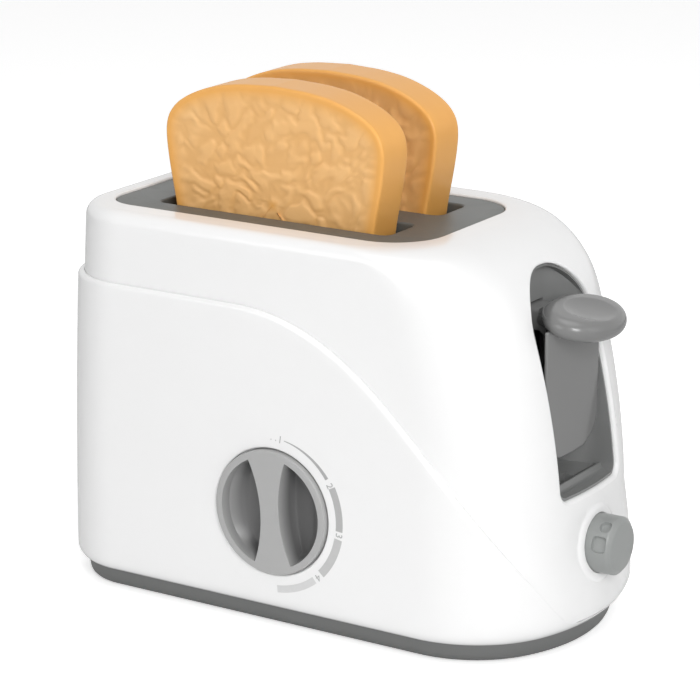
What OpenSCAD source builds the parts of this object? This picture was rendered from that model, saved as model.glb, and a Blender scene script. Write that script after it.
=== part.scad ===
// Toy pop-up toaster: two bread slices ride on a sprung carriage that a lever pushes down,
// a latch at the foot of the nose holds it and a push button frees it, and a dial clicks round.
// Millimetres, +Z up, origin on the floor under the middle of the body, nose towards +X,
// dial side towards -Y.

/* [Body shell] */
// Width of the upper body over its flat sides
body_w = 97; // [94:0.5:104]
// Height of the top face above the floor
body_top = 134; // [132:0.5:140]
// Reach of the flat end from the middle
body_left = 90.5; // [88:0.5:98]
// Reach of the nose at its foot from the middle
nose_reach = 90.3; // [89.8:0.1:92]
// Wall thickness of the mouldings
wall = 2.4; // [1.8:0.1:2.8]
// How far the flat end leans out at the floor
end_lean = 5.5; // [4:0.1:6]
// Plan radius of the corners at the flat end
end_corner_r = 24; // [18:1:30]
// Radius of the edge around the top
edge_r = 4.5; // [3.6:0.1:6]
// Side-view radius of the nose front
nose_profile_r = 255; // [235:5:300]
// Lean of the nose where the shoulder begins, degrees
nose_lean = 18.4; // [16:0.2:20]
// Side-view radius of the shoulder over the nose
shoulder_r = 34; // [30:1:38]
// Plan radius of the nose front at the floor
nose_plan_r = 59; // [56:1:70]
// Plan radius of the nose front at the top
nose_plan_top_r = 228; // [180:4:260]
// Plan radius of the nose corners at the floor
nose_corner_r = 38; // [30:1:40]
// Plan radius of the nose corners at the top
nose_corner_top_r = 28; // [22:1:32]

/* [Body wrap] */
// How far the wrap stands proud of the upper body
wrap_proud = 2.2; // [1.8:0.1:2.8]
// How far the wrap stands proud at the nose
wrap_nose_proud = 1.4; // [1.2:0.1:2]
// Height of the wrap's upper edge at the flat end
wrap_top = 109.8; // [104:0.5:114]
// Height of the wrap's upper edge at the nose
wrap_nose_top = 10; // [9.5:0.5:14]
// Where the upper edge starts to sweep down, along X
sweep_start_x = -20; // [-30:1:-10]
// Middle of the sweep, along X
sweep_mid_x = 52; // [48:1:56]
// Middle of the sweep, height
sweep_mid_z = 71; // [68:0.5:76]
// Slope of the sweep at its middle
sweep_slope = 1; // [0.9:0.02:1.1]
// Radius rolled in along the wrap's foot
foot_r = 5; // [4:0.2:6]

/* [Base] */
// Height of the base that shows under the wrap
base_h = 7.2; // [6.8:0.1:8]
// Inward taper of the base from its top to its bottom
base_taper = 1.2; // [0.8:0.1:3]
// Thickness of the base floor
base_floor = 2.2; // [1.8:0.1:3]
// Diameter of the rubber feet
foot_pad_d = 12; // [8:0.5:14]
// How far the feet stand out below the base
foot_pad_out = 0.8; // [0.5:0.1:1.2]

/* [Slot plate and toast] */
// Length of the slot plate along X
plate_l = 123.5; // [118:0.5:126]
// White margin beside the slot plate
plate_margin = 12.4; // [11:0.2:13.4]
// Middle of the slot plate along X
plate_x = -20.8; // [-24:0.2:-18]
// Plan corner radius of the slot plate at the flat end
plate_corner_r = 13; // [10:0.5:16]
// Plan corner radius of the slot plate at the nose end
plate_nose_r = 18; // [16:0.5:22]
// Depth of the slot plate below the top face
plate_drop = 0.6; // [0.4:0.1:1.5]
// Length of a slot
slot_l = 91; // [90:0.5:96]
// Width of a slot
slot_w = 18; // [17:0.2:19]
// Width of the bar between the slots
slot_bar = 15; // [14:0.2:16]
// Width of a slice at its widest
toast_w = 86; // [82:0.1:88.6]
// Width of a slice at its foot
toast_foot_w = 70; // [68:0.5:76]
// Height of a slice
toast_h = 80; // [76:0.5:84]
// Thickness of a slice
toast_t = 15.5; // [13:0.1:16.4]
// Height that a slice shows above the plate when it is up
toast_show = 44; // [40:0.2:48]

/* [Lever] */
// How far the lever slides down
lever_travel = 42; // [36:0.5:43]
// Length of the thumb paddle along X
paddle_l = 25.2; // [24:0.2:26]
// Width of the thumb paddle
paddle_w = 34.8; // [32:0.2:36]
// Thickness of the thumb paddle
paddle_t = 6.8; // [6:0.1:8]
// Middle of the paddle behind the reach of the nose
paddle_back = 6.7; // [6:0.1:7.3]
// Height of the middle of the paddle
paddle_z = 108.6; // [107.6:0.1:110]
// Outward droop of the paddle, degrees
paddle_droop = 12; // [8:0.5:14]
// Thickness of the skirt that hangs from the paddle
skirt_t = 2.2; // [1.8:0.1:2.4]
// Front face of the skirt behind the reach of the nose
skirt_back = 10.5; // [10.3:0.1:10.9]
// Height of the foot of the skirt
skirt_foot = 63.4; // [63:0.2:70]
// Width of the lever opening in the nose
opening_w = 39; // [38.6:0.1:41]
// Height of the foot of the lever opening
opening_foot = 52.4; // [52:0.2:54]
// Height of the top of the lever opening
opening_top = 124; // [122:0.5:125]
// Radius of the upper corners of the lever opening
opening_r = 15; // [12:0.5:17]

/* [Dial] */
// Diameter of the dial
dial_d = 42.8; // [40:0.1:46]
// Middle of the dial along X
dial_x = -4; // [-12:0.1:0]
// Height of the middle of the dial
dial_z = 41.3; // [38:0.1:46]
// How far the dial stands proud of the wrap
dial_proud = 1.6; // [1.4:0.1:3]
// How far the grip's face lies behind the rim
dial_dish = 0.2; // [0.1:0.1:2]
// Depth of the two finger scoops
scoop_depth = 8; // [5:0.5:9]
// Width of the grip bar at its waist
grip_waist = 7.2; // [6:0.2:9]
// How far the grip leans to the flat end at rest, degrees
grip_turn = 3.8; // [0:0.1:8]
// Number of click positions in a full turn
click_count = 24; // [16:4:28]

/* [Button] */
// Diameter of the push button
button_d = 19.6; // [18.6:0.1:20.4]
// Reach of the button's face from the middle of the body
button_reach = 99.5; // [98:0.1:101]
// Height of the middle of the button
button_z = 33.6; // [33.4:0.1:34.4]
// How far the button travels
button_travel = 3.2; // [2.6:0.1:3.2]

/* [Clearances] */
// Radial running clearance of shafts and sliding buttons
run_gap = 0.08; // [0.05:0.01:0.1]
// Gap between mouldings that snap together
snap_gap = 0.15; // [0.1:0.01:0.2]
// Gap beside parts that move past each other
move_gap = 0.4; // [0.3:0.05:0.5]

/* [Hidden] */

shell_white = "#f3f3f1";
plate_grey = "#8a8d8a";
base_grey = "#6b6e6d";
lever_grey = "#8e908e";
dial_grey = "#a9a9a7";
well_grey = "#4a4c4b";
steel = "#b9bcbd";
toast_tan = "#dda35c";

round_n = 48;
corner_steps = 7;
nose_steps = 8;
cut = 1;             // how far a cutter runs past what it cuts

// Side view of the nose: a shallow arc up from the foot, then the shoulder arc
nose_arc_z = body_top - shoulder_r;
function lean_z(o) = nose_arc_z + (shoulder_r + o) * sin(nose_lean);
nose_foot_z = lean_z(0) - nose_profile_r * tan(nose_lean);
function nose_setback(z) = pow(max(0, z - nose_foot_z), 2) / (2 * nose_profile_r);
nose_arc_x = nose_reach - nose_setback(lean_z(0)) - shoulder_r * cos(nose_lean);
function nose_x(z, o) = z < lean_z(o) ? nose_reach + o - nose_setback(z)
    : nose_arc_x + sqrt(max(0, pow(shoulder_r + o, 2) - pow(z - nose_arc_z, 2)));
function edge_in(z, o) = z < body_top - edge_r ? 0
    : edge_r + o - sqrt(max(0, pow(edge_r + o, 2) - pow(z - body_top + edge_r, 2)));

function arc(c, r, a0, a1, n) = [for (i = [0:n]) let (a = a0 + (a1 - a0) * i / n)
    [c.x + r * cos(a), c.y + r * sin(a)]];
function between(a, b, t) = a + (b - a) * t;
function at_z(points, z) = [for (p = points) [p.x, p.y, z]];

// Plan outline of the body at height z, grown by side all round and by tip at the nose
function body_ring(z, side, tip) = let (
    inset = edge_in(z, side),
    half = body_w / 2 + side - inset,
    t = z / body_top,
    front_r = between(nose_plan_r, nose_plan_top_r, t) + tip,
    corner_r = between(nose_corner_r, nose_corner_top_r, t) + side,
    reach = sqrt(pow(front_r - corner_r, 2) - pow(half - corner_r, 2)),
    front_x = nose_x(z, tip) - front_r,
    turn = atan2(half - corner_r, reach),
    end_r = end_corner_r + side - inset,
    end_x = end_r - body_left - side + inset - end_lean * (1 - 0.85 * t * t))
    at_z(concat(
        arc([end_x, end_r - half], end_r, 180, 270, corner_steps),
        arc([front_x + reach, corner_r - half], corner_r, -90, -turn, corner_steps),
        [for (i = [1:nose_steps - 1]) let (a = turn * (2 * i / nose_steps - 1))
            [front_x + front_r * cos(a), front_r * sin(a)]],
        arc([front_x + reach, half - corner_r], corner_r, turn, 90, corner_steps),
        arc([end_x, half - end_r], end_r, 90, 180, corner_steps)), z);

// Heights at which the body outline is taken, from z0 to its top face
straight_steps = 5;
shoulder_steps = 4;
edge_steps = 4;
function body_levels(z0, o) = let (
    z1 = lean_z(o),
    a2 = asin((shoulder_r - edge_r) / (shoulder_r + o)))
    concat([for (i = [0:straight_steps - 1]) between(z0, z1, i / straight_steps)],
        [for (i = [0:shoulder_steps - 1])
            nose_arc_z + (shoulder_r + o) * sin(between(nose_lean, a2, i / shoulder_steps))],
        [for (i = [0:edge_steps]) body_top - edge_r + (edge_r + o) * sin(90 * i / edge_steps)]);

// Closed solid through rings that all have the same number of points, lowest ring first
module loft(rings) {
    n = len(rings[0]);
    last = (len(rings) - 1) * n;
    polyhedron([for (r = rings) each r], concat(
        [[for (j = [0:n - 1]) j]],
        [for (i = [0:n:last - n], j = [0:n - 1]) let (k = (j + 1) % n)
            each [[i + j, i + n + j, i + n + k], [i + j, i + n + k, i + k]]],
        [[for (j = [n - 1:-1:0]) last + j]]));
}

module body_form(z0, o) {
    loft([for (z = body_levels(z0, o)) body_ring(z, o, o)]);
}

module block(x, y, z) {
    translate([x[0], y[0], z[0]]) cube([x[1] - x[0], y[1] - y[0], z[1] - z[0]]);
}

module bar_x(r, x, y, z) {
    translate([x[0], y, z]) rotate([0, 90, 0]) cylinder(r = r, h = x[1] - x[0], $fn = round_n);
}

module bar_y(r, x, y, z) {
    translate([x, y[0], z]) rotate([-90, 0, 0]) cylinder(r = r, h = y[1] - y[0], $fn = round_n);
}

module bar_z(r, x, y, z) {
    translate([x, y, z[0]]) cylinder(r = r, h = z[1] - z[0], $fn = round_n);
}

module both_sides() {
    children();
    mirror([0, 1, 0]) children();
}

module rounded_rect(size, r) {
    offset(r = r, $fn = 32) square([size.x - 2 * r, size.y - 2 * r], center = true);
}

// Plan outline of the slot plate, grown by o
module plate_shape(o) {
    offset(delta = o) hull() for (s = [-1, 1]) {
        translate([plate_corner_r - plate_l / 2, s * (plate_w / 2 - plate_corner_r)])
            circle(r = plate_corner_r, $fn = 32);
        translate([plate_l / 2 - plate_nose_r, s * (plate_w / 2 - plate_nose_r)])
            circle(r = plate_nose_r, $fn = 40);
    }
}

// Extrudes a side-view outline [x, z] across Y
module across(y) {
    translate([0, y[1], 0]) rotate([90, 0, 0]) linear_extrude(y[1] - y[0]) children();
}

// Extrudes an end-view outline [y, z] along X
module along(x) {
    translate([x[0], 0, 0]) rotate([90, 0, 90]) linear_extrude(x[1] - x[0]) children();
}

// Round wire wound about Z from z = 0 to z = h, ring by ring
module coil(r, wire_r, h, turns) {
    ring_steps = 10;
    sides = 6;
    n = turns * ring_steps;
    rise = (h - 2 * wire_r) / n;
    loft([for (i = [n:-1:0]) let (a = 360 * i / ring_steps)
        [for (k = [0:sides - 1]) let (b = 360 * k / sides, d = r + wire_r * cos(b))
            [d * cos(a), d * sin(a), wire_r + rise * i + wire_r * sin(b)]]]);
}

// Pan-head screw standing on z = 0 with its shank up
module screw(shank_r, l, head_r, head_h) {
    translate([0, 0, -head_h]) cylinder(r = head_r, h = head_h, $fn = round_n);
    cylinder(r = shank_r, h = l, $fn = round_n);
}

// Heights
base_bottom = foot_pad_out;
floor_top = base_bottom + base_floor;
shell_foot = base_h + 3.5;      // lower edge of the upper shell, hidden in the wrap
base_inset = 1.2;               // base top edge inside the body outline
ledge_in = 3.4;                 // inner face of the wrap's foot inside the body outline
tongue_t = 1.8;
plate_z = body_top - plate_drop;
roof_z = body_top - wall;
plate_w = body_w - 2 * plate_margin;
flange_out = 2;                 // slot plate flange past its panel
flange_t = 2.4;
plate_under = roof_z - flange_t;

// Slots, wells and slices
slot_y = (slot_bar + slot_w) / 2;
well_wall = 1.6;
well_x = [plate_x - slot_l / 2, plate_x + slot_l / 2];
well_half_y = slot_y + slot_w / 2 + well_wall;
well_inner_y = slot_bar / 2 - well_wall;
toast_foot_z = plate_z - toast_h + toast_show;
seat_gap = 0.05;
toast_wall = 1.8;
seat_t = 1.5;                   // cradle shelf under a slice
arm_h = 4;
arm_t = 5;
arm_z = toast_foot_z - seat_gap - seat_t - arm_h;
well_floor = arm_z - lever_travel - 0.8;

// Carriage, rods and lift spring
rod_r = 1.5;
skirt_x = nose_reach - skirt_back;
slider_x = [skirt_x - 23.8, skirt_x - 21.4];
rod_x = slider_x[0] - 6;
rod_y = 9;
bush_r = 3.6;
slider_z = [arm_z - 4, 112];
spring_shelf_z = arm_z - 5;
bridge_z = [118, 120.4];
bridge_x = [well_x[1] + well_wall, rod_x + 6];
bridge_screw_z = [106, 113];

// Lever
paddle_x = nose_reach - paddle_back;
neck_half = 6;
neck_z = [103.5, 111];
skirt_half = paddle_w / 2;
skirt_corner = 10;
catch_z = [80, 83];
catch_out = 3.2;                // how far the catch rib stands off the skirt

// Recess behind the lever opening: its back wall leans back as it rises
liner_t = 1.5;
recess_back = [skirt_x - 12.4, skirt_x - 15.8];  // front face of the back wall at the floor and at the top
recess_floor = [opening_foot - 0.2, opening_foot + 2.2];
recess_corner = 10;
opening_half = opening_w / 2;

// Button and latch
button_rim_r = button_d / 2 + 1.7;
button_seat_x = nose_reach - wall - 0.7;
rim_t = 1.4;
button_wall = 1.75;
stop_x = [skirt_x + 1.2, skirt_x + 2.8];
prong_y = [skirt_half + 1.5, skirt_half + 3.5];
prong_z = [button_z - 0.6, button_z + 3.4];
latch_x = skirt_x - 9.8;
latch_z = 18;
latch_pin_r = 1.25;
latch_barrel_r = 3;
prong_tip_x = latch_x + 1.8;
cheek_y = [prong_y[1] + 1, prong_y[1] + 3];

// Dial, seen from its front at -Y
shell_front = -body_w / 2;
wrap_front = shell_front - wrap_proud;
dial_front = wrap_front - dial_proud;
dial_back = shell_front - 0.3;
drum_r = dial_d / 2 - 1.4;
scoop_r = drum_r - 1;
drum_back = dial_front + scoop_depth + 2;
stem_r = 4;
bracket_y = [-37, -35.2];
wheel_y = [bracket_y[1] + 0.3, bracket_y[1] + 3.7];
wheel_r = 10;
bracket_half = drum_r + 9;
bracket_h = wheel_r * 2 + 6;
bracket_screw_l = bracket_y[1] - shell_front - wall - 3.4;

// Screw places
post_r = 3.5;
post_hole_r = 1.3;
end_post_d = end_corner_r - wall - post_r - 2.6;
base_posts = [
    [end_corner_r - body_left - end_lean - end_post_d * cos(47),
        body_w / 2 - end_corner_r + end_post_d * sin(47), 133],
    [44, body_w / 2 - wall - post_r - 3.5, 90]];
post_top = 34;
foot_x = [24.5 - body_left - end_lean, nose_reach - 34.3];
foot_y = body_w / 2 - 18.5;
screw_sink = 1;                 // how far the base screws' heads lie inside the floor
base_screw_l = 18;
plate_screw_l = 3.6;
plate_posts = [[-60, body_w / 2 - 6.5], [25, body_w / 2 - 6.5]];

// ---- housings ----

// Points of a cubic curve through four controls
function cubic(p, n) = [for (i = [0:n]) let (t = i / n, s = 1 - t)
    s * s * s * p[0] + 3 * s * s * t * p[1] + 3 * s * t * t * p[2] + t * t * t * p[3]];

sweep_mid = [sweep_mid_x, sweep_mid_z];
sweep_dir = [1, -sweep_slope];
far = 200;
function sweep_line() = concat(
    cubic([[sweep_start_x, wrap_top], [sweep_start_x + 32, wrap_top],
        sweep_mid - 20 * sweep_dir, sweep_mid], 9),
    cubic([sweep_mid, sweep_mid + 16 * sweep_dir,
        [nose_reach - 3.5, wrap_nose_top + 21], [nose_reach + 1.2, wrap_nose_top]], 9));

module below_sweep() {
    across([-far, far]) polygon(concat(
        [[-far, -cut], [-far, wrap_top]], sweep_line(),
        [[far, wrap_nose_top], [far, -cut]]));
}

// Heights shared by both faces of the wrap, those of the body's own outline
wrap_inner_top = body_top - 10;
wrap_levels = [for (z = body_levels(shell_foot, 0)) if (z > shell_foot + 2 && z < wrap_inner_top - 2) z];

// Outer face of the wrap, rolled in along its foot
function wrap_form() = let (roll = 58, z1 = base_h + foot_r * sin(roll)) concat(
    [for (i = [0:4]) let (a = roll * (i / 4 - 1), d = foot_r * (1 - cos(a)))
        body_ring(z1 + foot_r * sin(a), wrap_proud - d, wrap_nose_proud - d)],
    [for (z = wrap_levels) body_ring(z, wrap_proud, wrap_nose_proud)]);

module body_wrap() color(shell_white) {
    difference() {
        intersection() {
            loft(wrap_form());
            below_sweep();
        }
        loft([for (z = concat([shell_foot], wrap_levels, [wrap_inner_top]))
            body_ring(z, snap_gap, snap_gap)]);
        loft([for (z = [base_h - cut, shell_foot + 0.01]) body_ring(z, -ledge_in, -ledge_in)]);
        bar_y(dial_d / 2 + 0.45, dial_x, [-body_w, 0], dial_z);
    }
}

// End view of the lever opening, grown by o
module opening_shape(o) {
    offset(delta = o) union() {
        translate([-opening_half, opening_foot])
            square([opening_w, opening_top - opening_foot - opening_r]);
        hull() for (s = [-1, 1])
            translate([s * (opening_half - opening_r), opening_top - opening_r])
                circle(r = opening_r, $fn = round_n);
    }
}

module upper_shell() color(shell_white) {
    difference() {
        body_form(shell_foot, 0);
        body_form(shell_foot - cut, -wall);
        // slot plate opening
        translate([plate_x, 0, plate_under]) linear_extrude(body_top) plate_shape(snap_gap);
        // lever opening
        along([recess_back[1] - 8, nose_reach + cut]) opening_shape(0);
        // button bore and the flat seat behind it
        bar_x(button_d / 2 + run_gap, [latch_x, nose_reach + cut], 0, button_z);
        bar_x(button_rim_r + 0.4, [latch_x, button_seat_x + snap_gap], 0, button_z);
        // dial bore
        bar_y(drum_r + 0.2, dial_x, [-body_w, -body_w / 4], dial_z);
    }
    both_sides() {
        for (p = base_posts) translate([p.x, p.y, 0]) {
            difference() {
                union() {
                    bar_z(post_r, 0, 0, [shell_foot, post_top]);
                    rotate([0, 0, p[2]]) block([post_r - 0.5, post_r + 4.4], [-0.8, 0.8],
                        [shell_foot, post_top]);
                }
                bar_z(post_hole_r, 0, 0, [shell_foot - cut, post_top - 4]);
            }
        }
        for (p = plate_posts) difference() {
            bar_z(2.8, p.x, p.y, [plate_under, roof_z + 0.4]);
            bar_z(post_hole_r, p.x, p.y, [plate_under - cut, roof_z - 0.4]);
        }
    }
    for (s = [-1, 1]) difference() {
        bar_y(post_r, dial_x + s * (bracket_half - 4), [shell_front + wall - 0.6, bracket_y[0]],
            dial_z);
        bar_y(post_hole_r, dial_x + s * (bracket_half - 4),
            [shell_front + wall + 1, bracket_y[0] + cut], dial_z);
    }
}

module base_tray() color(base_grey) {
    difference() {
        union() {
            loft([for (t = [0, 0.15, 1]) let (z = between(base_bottom, base_h, t),
                o = -base_inset - base_taper * (1 - t) - (t == 0 ? 0.6 : 0)) body_ring(z, o, o)]);
            loft([for (z = [base_h - cut, shell_foot]) let (o = -ledge_in - snap_gap)
                body_ring(z, o, o)]);
        }
        loft([for (z = [floor_top, shell_foot + cut])
            let (o = -ledge_in - snap_gap - tongue_t) body_ring(z, o, o)]);
        for (p = base_posts, s = [-1, 1]) {
            bar_z(1.7, p.x, s * p.y, [0, shell_foot + cut]);
            bar_z(3.3, p.x, s * p.y, [0, base_bottom + screw_sink]);
        }
        feet_at() cylinder(d = foot_pad_d + 0.3, h = 1, $fn = round_n);
    }
    both_sides() {
        for (p = base_posts) difference() {
            bar_z(4.2, p.x, p.y, [floor_top, shell_foot]);
            bar_z(1.7, p.x, p.y, [floor_top - cut, shell_foot + cut]);
        }
        difference() {
            bar_z(rod_r + 1.8, rod_x, rod_y, [floor_top, floor_top + 9]);
            bar_z(rod_r + run_gap, rod_x, rod_y, [floor_top, floor_top + 10]);
        }
        difference() {
            block([latch_x - 4, latch_x + 4], cheek_y, [floor_top, latch_z + 4]);
            bar_y(latch_pin_r + run_gap, latch_x, [cheek_y[0] - cut, cheek_y[1] + cut], latch_z);
        }
    }
    // stop behind the button spring
    block(stop_x, [-6.5, 6.5], [floor_top, button_z + 10]);
    // post behind the latch spring
    block([latch_spring_x[0] - 2.5, latch_spring_x[0]], [-4, 4], [floor_top, latch_spring_z + 4]);
}

latch_spring_z = latch_z + 12;
latch_spring_x = [latch_x - 8, latch_x - 1.4];

module feet_at() {
    for (x = foot_x, s = [-1, 1]) translate([x, s * foot_y, base_bottom]) children();
}

module rubber_feet() color("#3c3d3d") {
    feet_at() translate([0, 0, -foot_pad_out])
        cylinder(d = foot_pad_d, h = foot_pad_out + 1, $fn = round_n);
}

module slot_plate() color(plate_grey) {
    difference() {
        union() {
            translate([plate_x, 0, plate_under]) linear_extrude(plate_z - plate_under)
                plate_shape(0);
            translate([plate_x, 0, plate_under]) linear_extrude(flange_t)
                plate_shape(flange_out);
            // rib that the rod bridge is screwed to
            block([well_x[1] - 4.4, well_x[1] + well_wall],
                [snap_gap - well_inner_y, well_inner_y - snap_gap],
                [bridge_screw_z[0] - 6, plate_under + 0.5]);
        }
        both_sides() translate([plate_x, slot_y, plate_under - cut])
            linear_extrude(plate_z) rounded_rect([slot_l, slot_w], 3);
        for (z = bridge_screw_z) bar_x(1.3, [well_x[1] - 3.4, well_x[1] + well_wall + cut], 0, z);
    }
}

// Cup that a slice sinks into, seen on the rear side
module slice_well() {
    lid = [plate_under - 1.6, plate_under];
    difference() {
        union() {
            block([well_x[0] - well_wall, well_x[1] + well_wall], [well_inner_y, well_half_y],
                [well_floor - well_wall, plate_under]);
            block([well_x[0] - well_wall - 2, well_x[1] + well_wall + 2],
                [well_inner_y, well_half_y + 1], lid);
            for (p = plate_posts) block([p.x - 4, p.x + 4], [well_half_y - 1, p.y + 3], lid);
        }
        translate([plate_x, slot_y, well_floor]) linear_extrude(body_top)
            square([slot_l, slot_w], center = true);
        // arm slot in the end wall
        block([well_x[1] - cut, well_x[1] + well_wall + cut],
            [slot_y - arm_t / 2 - 0.6, slot_y + arm_t / 2 + 0.6],
            [well_floor, arm_z + arm_h + seat_t + 1]);
        for (p = plate_posts) bar_z(1.7, p.x, p.y, [lid[0] - cut, lid[1] + cut]);
    }
}

module slice_well_front() color(well_grey) mirror([0, 1, 0]) slice_well();

module slice_well_rear() color(well_grey) slice_well();

// Plan outline of the recess behind the lever opening, with its back wall at x and grown by o
function recess_ring(z, x, o) = at_z(concat(
    [[far / 2, -opening_half - o], [far / 2, opening_half + o]],
    arc([x + recess_corner, opening_half - recess_corner], recess_corner + o, 90, 180, 5),
    arc([x + recess_corner, recess_corner - opening_half], recess_corner + o, 180, 270, 5)), z);

module recess_form(o) {
    intersection() {
        loft([recess_ring(opening_foot - 10, recess_back[0], o),
            recess_ring(opening_top + 6, recess_back[1], o)]);
        along([recess_back[1] - 10, far / 2]) opening_shape(o);
    }
}

module recess_floor_form() {
    x = [recess_back[0], nose_reach];
    slot_x = [skirt_x - skirt_t - move_gap, skirt_x + move_gap];
    difference() {
        across([-opening_half - 1, opening_half + 1]) polygon([
            [x[0] - 1, opening_foot - 2.4], [x[1], opening_foot - 2.4],
            [x[1], recess_floor[0]], [slot_x[1], recess_floor[0] + 1.2],
            [slot_x[0], recess_floor[0] + 0.4], [x[0] - 1, recess_floor[1]]]);
        block(slot_x, [-skirt_half - move_gap, skirt_half + move_gap], [0, body_top]);
    }
}

module lever_surround() color(lever_grey) {
    intersection() {
        body_form(shell_foot, -wall - snap_gap);
        difference() {
            union() {
                difference() {
                    recess_form(liner_t);
                    recess_form(0);
                }
                intersection() {
                    recess_form(liner_t);
                    recess_floor_form();
                }
            }
            // slot for the lever's neck, and for its skirt below the floor
            block([recess_back[1] - 10, skirt_x - 8],
                [-neck_half - move_gap, neck_half + move_gap],
                [neck_z[0] - lever_travel - move_gap, neck_z[1] + move_gap]);
            block([skirt_x - skirt_t - move_gap, skirt_x + move_gap],
                [-skirt_half - move_gap, skirt_half + move_gap],
                [opening_foot - 10, opening_foot + 1]);
            // notch for the catch rib
            block([skirt_x - skirt_t - catch_out - move_gap, skirt_x - skirt_t],
                [-4 - move_gap, 4 + move_gap], [opening_foot - 10, recess_floor[1] + 1]);
        }
    }
}

// ---- carriage works ----

module rod_bridge() color(well_grey) {
    difference() {
        union() {
            block(bridge_x, [-14, 14], bridge_z);
            block([bridge_x[0], bridge_x[0] + 2], [-5, 5], [bridge_screw_z[0] - 4, bridge_z[1]]);
            bar_z(2.2, rod_x, 0, [bridge_z[0] - 2.4, bridge_z[0]]);
        }
        for (s = [-1, 1])
            bar_z(rod_r + run_gap, rod_x, s * rod_y, [bridge_z[0] - cut, bridge_z[1] + cut]);
        for (z = bridge_screw_z) bar_x(1.6, [bridge_x[0] - cut, bridge_x[0] + 3], 0, z);
    }
}

module guide_rods() color(steel) {
    for (s = [-1, 1]) bar_z(rod_r, rod_x, s * rod_y, [floor_top + 0.1, bridge_z[1]]);
}

module lift_spring() color(steel) {
    translate([rod_x, 0, spring_shelf_z]) coil(3, 0.4, bridge_z[0] - spring_shelf_z, 12);
}

module toast_carriage() color("#5c5f5e") {
    arm_x = [well_x[0] + 6, slider_x[0]];
    shelf_x = [well_x[0] + 8, well_x[1] - 8];
    difference() {
        union() {
            block(slider_x, [-slot_y - 3.5, slot_y + 3.5], slider_z);
            both_sides() {
                bar_z(bush_r, rod_x, rod_y, [arm_z, slider_z[1]]);
                block([rod_x, slider_x[0]], [rod_y - 2, rod_y + 2], [arm_z, slider_z[1]]);
                block(arm_x, [slot_y - arm_t / 2, slot_y + arm_t / 2], [arm_z, arm_z + arm_h]);
                translate([(shelf_x[0] + shelf_x[1]) / 2, slot_y, arm_z + arm_h])
                    linear_extrude(seat_t) rounded_rect([shelf_x[1] - shelf_x[0], 14], 4);
            }
            // shelf and spigot that hold the foot of the lift spring
            block([rod_x - 4, slider_x[1]], [-4, 4], [spring_shelf_z - 2, spring_shelf_z]);
            block(slider_x, [-4, 4], [spring_shelf_z - 2, arm_z]);
            bar_z(2.2, rod_x, 0, [spring_shelf_z, spring_shelf_z + 2.4]);
        }
        for (s = [-1, 1]) {
            bar_z(rod_r + run_gap, rod_x, s * rod_y, [arm_z - cut, slider_z[1] + cut]);
            bar_x(1.6, [slider_x[0] - cut, slider_x[1] + cut], s * 3, (neck_z[0] + neck_z[1]) / 2);
        }
    }
}

// Thumb paddle: an oval pad with a full round edge
module paddle() {
    r = paddle_t / 2;
    tip = [paddle_l / 2 - r, paddle_w / 2 - r];
    translate([paddle_x, 0, paddle_z]) rotate([0, paddle_droop, 0]) difference() {
        loft([for (a = [-80:20:80]) [for (b = [0:15:345])
            [(tip.x + r * cos(a)) * cos(b), (tip.y + r * cos(a)) * sin(b), r * sin(a)]]]);
        translate([2.5, 0, 32 + r - 1.2]) sphere(r = 32, $fn = 64);
    }
}

module lever() color(lever_grey) {
    skirt_top = paddle_z;
    difference() {
        union() {
            paddle();
            along([skirt_x - skirt_t, skirt_x]) hull() {
                for (s = [-1, 1]) translate([s * (skirt_half - skirt_corner),
                    skirt_foot + skirt_corner]) circle(r = skirt_corner, $fn = 32);
                translate([-skirt_half, skirt_top - 1]) square([paddle_w, 1]);
            }
            block([slider_x[1], skirt_x - 1], [-neck_half, neck_half], neck_z);
            // catch rib behind the skirt
            block([skirt_x - skirt_t - catch_out, skirt_x - skirt_t + 0.5], [-4, 4], catch_z);
        }
        for (s = [-1, 1])
            bar_x(1.05, [slider_x[1] - cut, slider_x[1] + 9], s * 3, (neck_z[0] + neck_z[1]) / 2);
    }
}

module lever_screws() color(steel) {
    for (s = [-1, 1]) translate([slider_x[0], s * 3, (neck_z[0] + neck_z[1]) / 2])
        rotate([0, 90, 0]) screw(1, 10, 2.4, 1.4);
}

// ---- slices of bread ----

// Front view of a slice about its foot: straight taper, shoulder bulge and crowned top
function toast_outline(o) = let (
    half = toast_w / 2 - o,
    foot = toast_foot_w / 2 - o,
    bulge_z = toast_h * 0.7625,
    top = toast_h - o,
    side = cubic([[foot, o], [foot + 0.8, bulge_z * 0.33], [half - 2, bulge_z * 0.72],
        [half, bulge_z]], 6),
    crown = cubic([[half, bulge_z], [half + 0.3, bulge_z + 8], [half - 9, top - 4],
        [half - 25, top - 1.4]], 8),
    right = concat(side, [for (i = [1:8]) crown[i]], [[half * 0.19, top - 0.2]]))
    concat(right, [for (i = [len(right) - 1:-1:0]) [-right[i].x, right[i].y]]);

module slice() {
    half = toast_t / 2;
    layers = [[-half, 1.6], [-half + 0.5, 0.5], [-half + 1.6, 0],
        [half - 1.6, 0], [half - 0.5, 0.5], [half, 1.6]];
    translate([plate_x, 0, toast_foot_z]) rotate([90, 0, 0]) difference() {
        loft([for (l = layers) at_z(toast_outline(l[1]), l[0])]);
        // hollow that opens at the foot
        loft([for (y = [-1, 1]) at_z(toast_outline(toast_wall), y * (half - toast_wall))]);
        translate([0, 0, toast_wall - half]) linear_extrude(toast_t - 2 * toast_wall)
            translate([toast_wall + 0.4 - toast_foot_w / 2, -cut])
                square([toast_foot_w - 2 * toast_wall - 0.8, toast_wall + cut + 0.5]);
    }
}

module toast_front() color(toast_tan) translate([0, -slot_y, 0]) slice();

module toast_rear() color(toast_tan) translate([0, slot_y, 0]) slice();

// ---- dial ----

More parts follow.
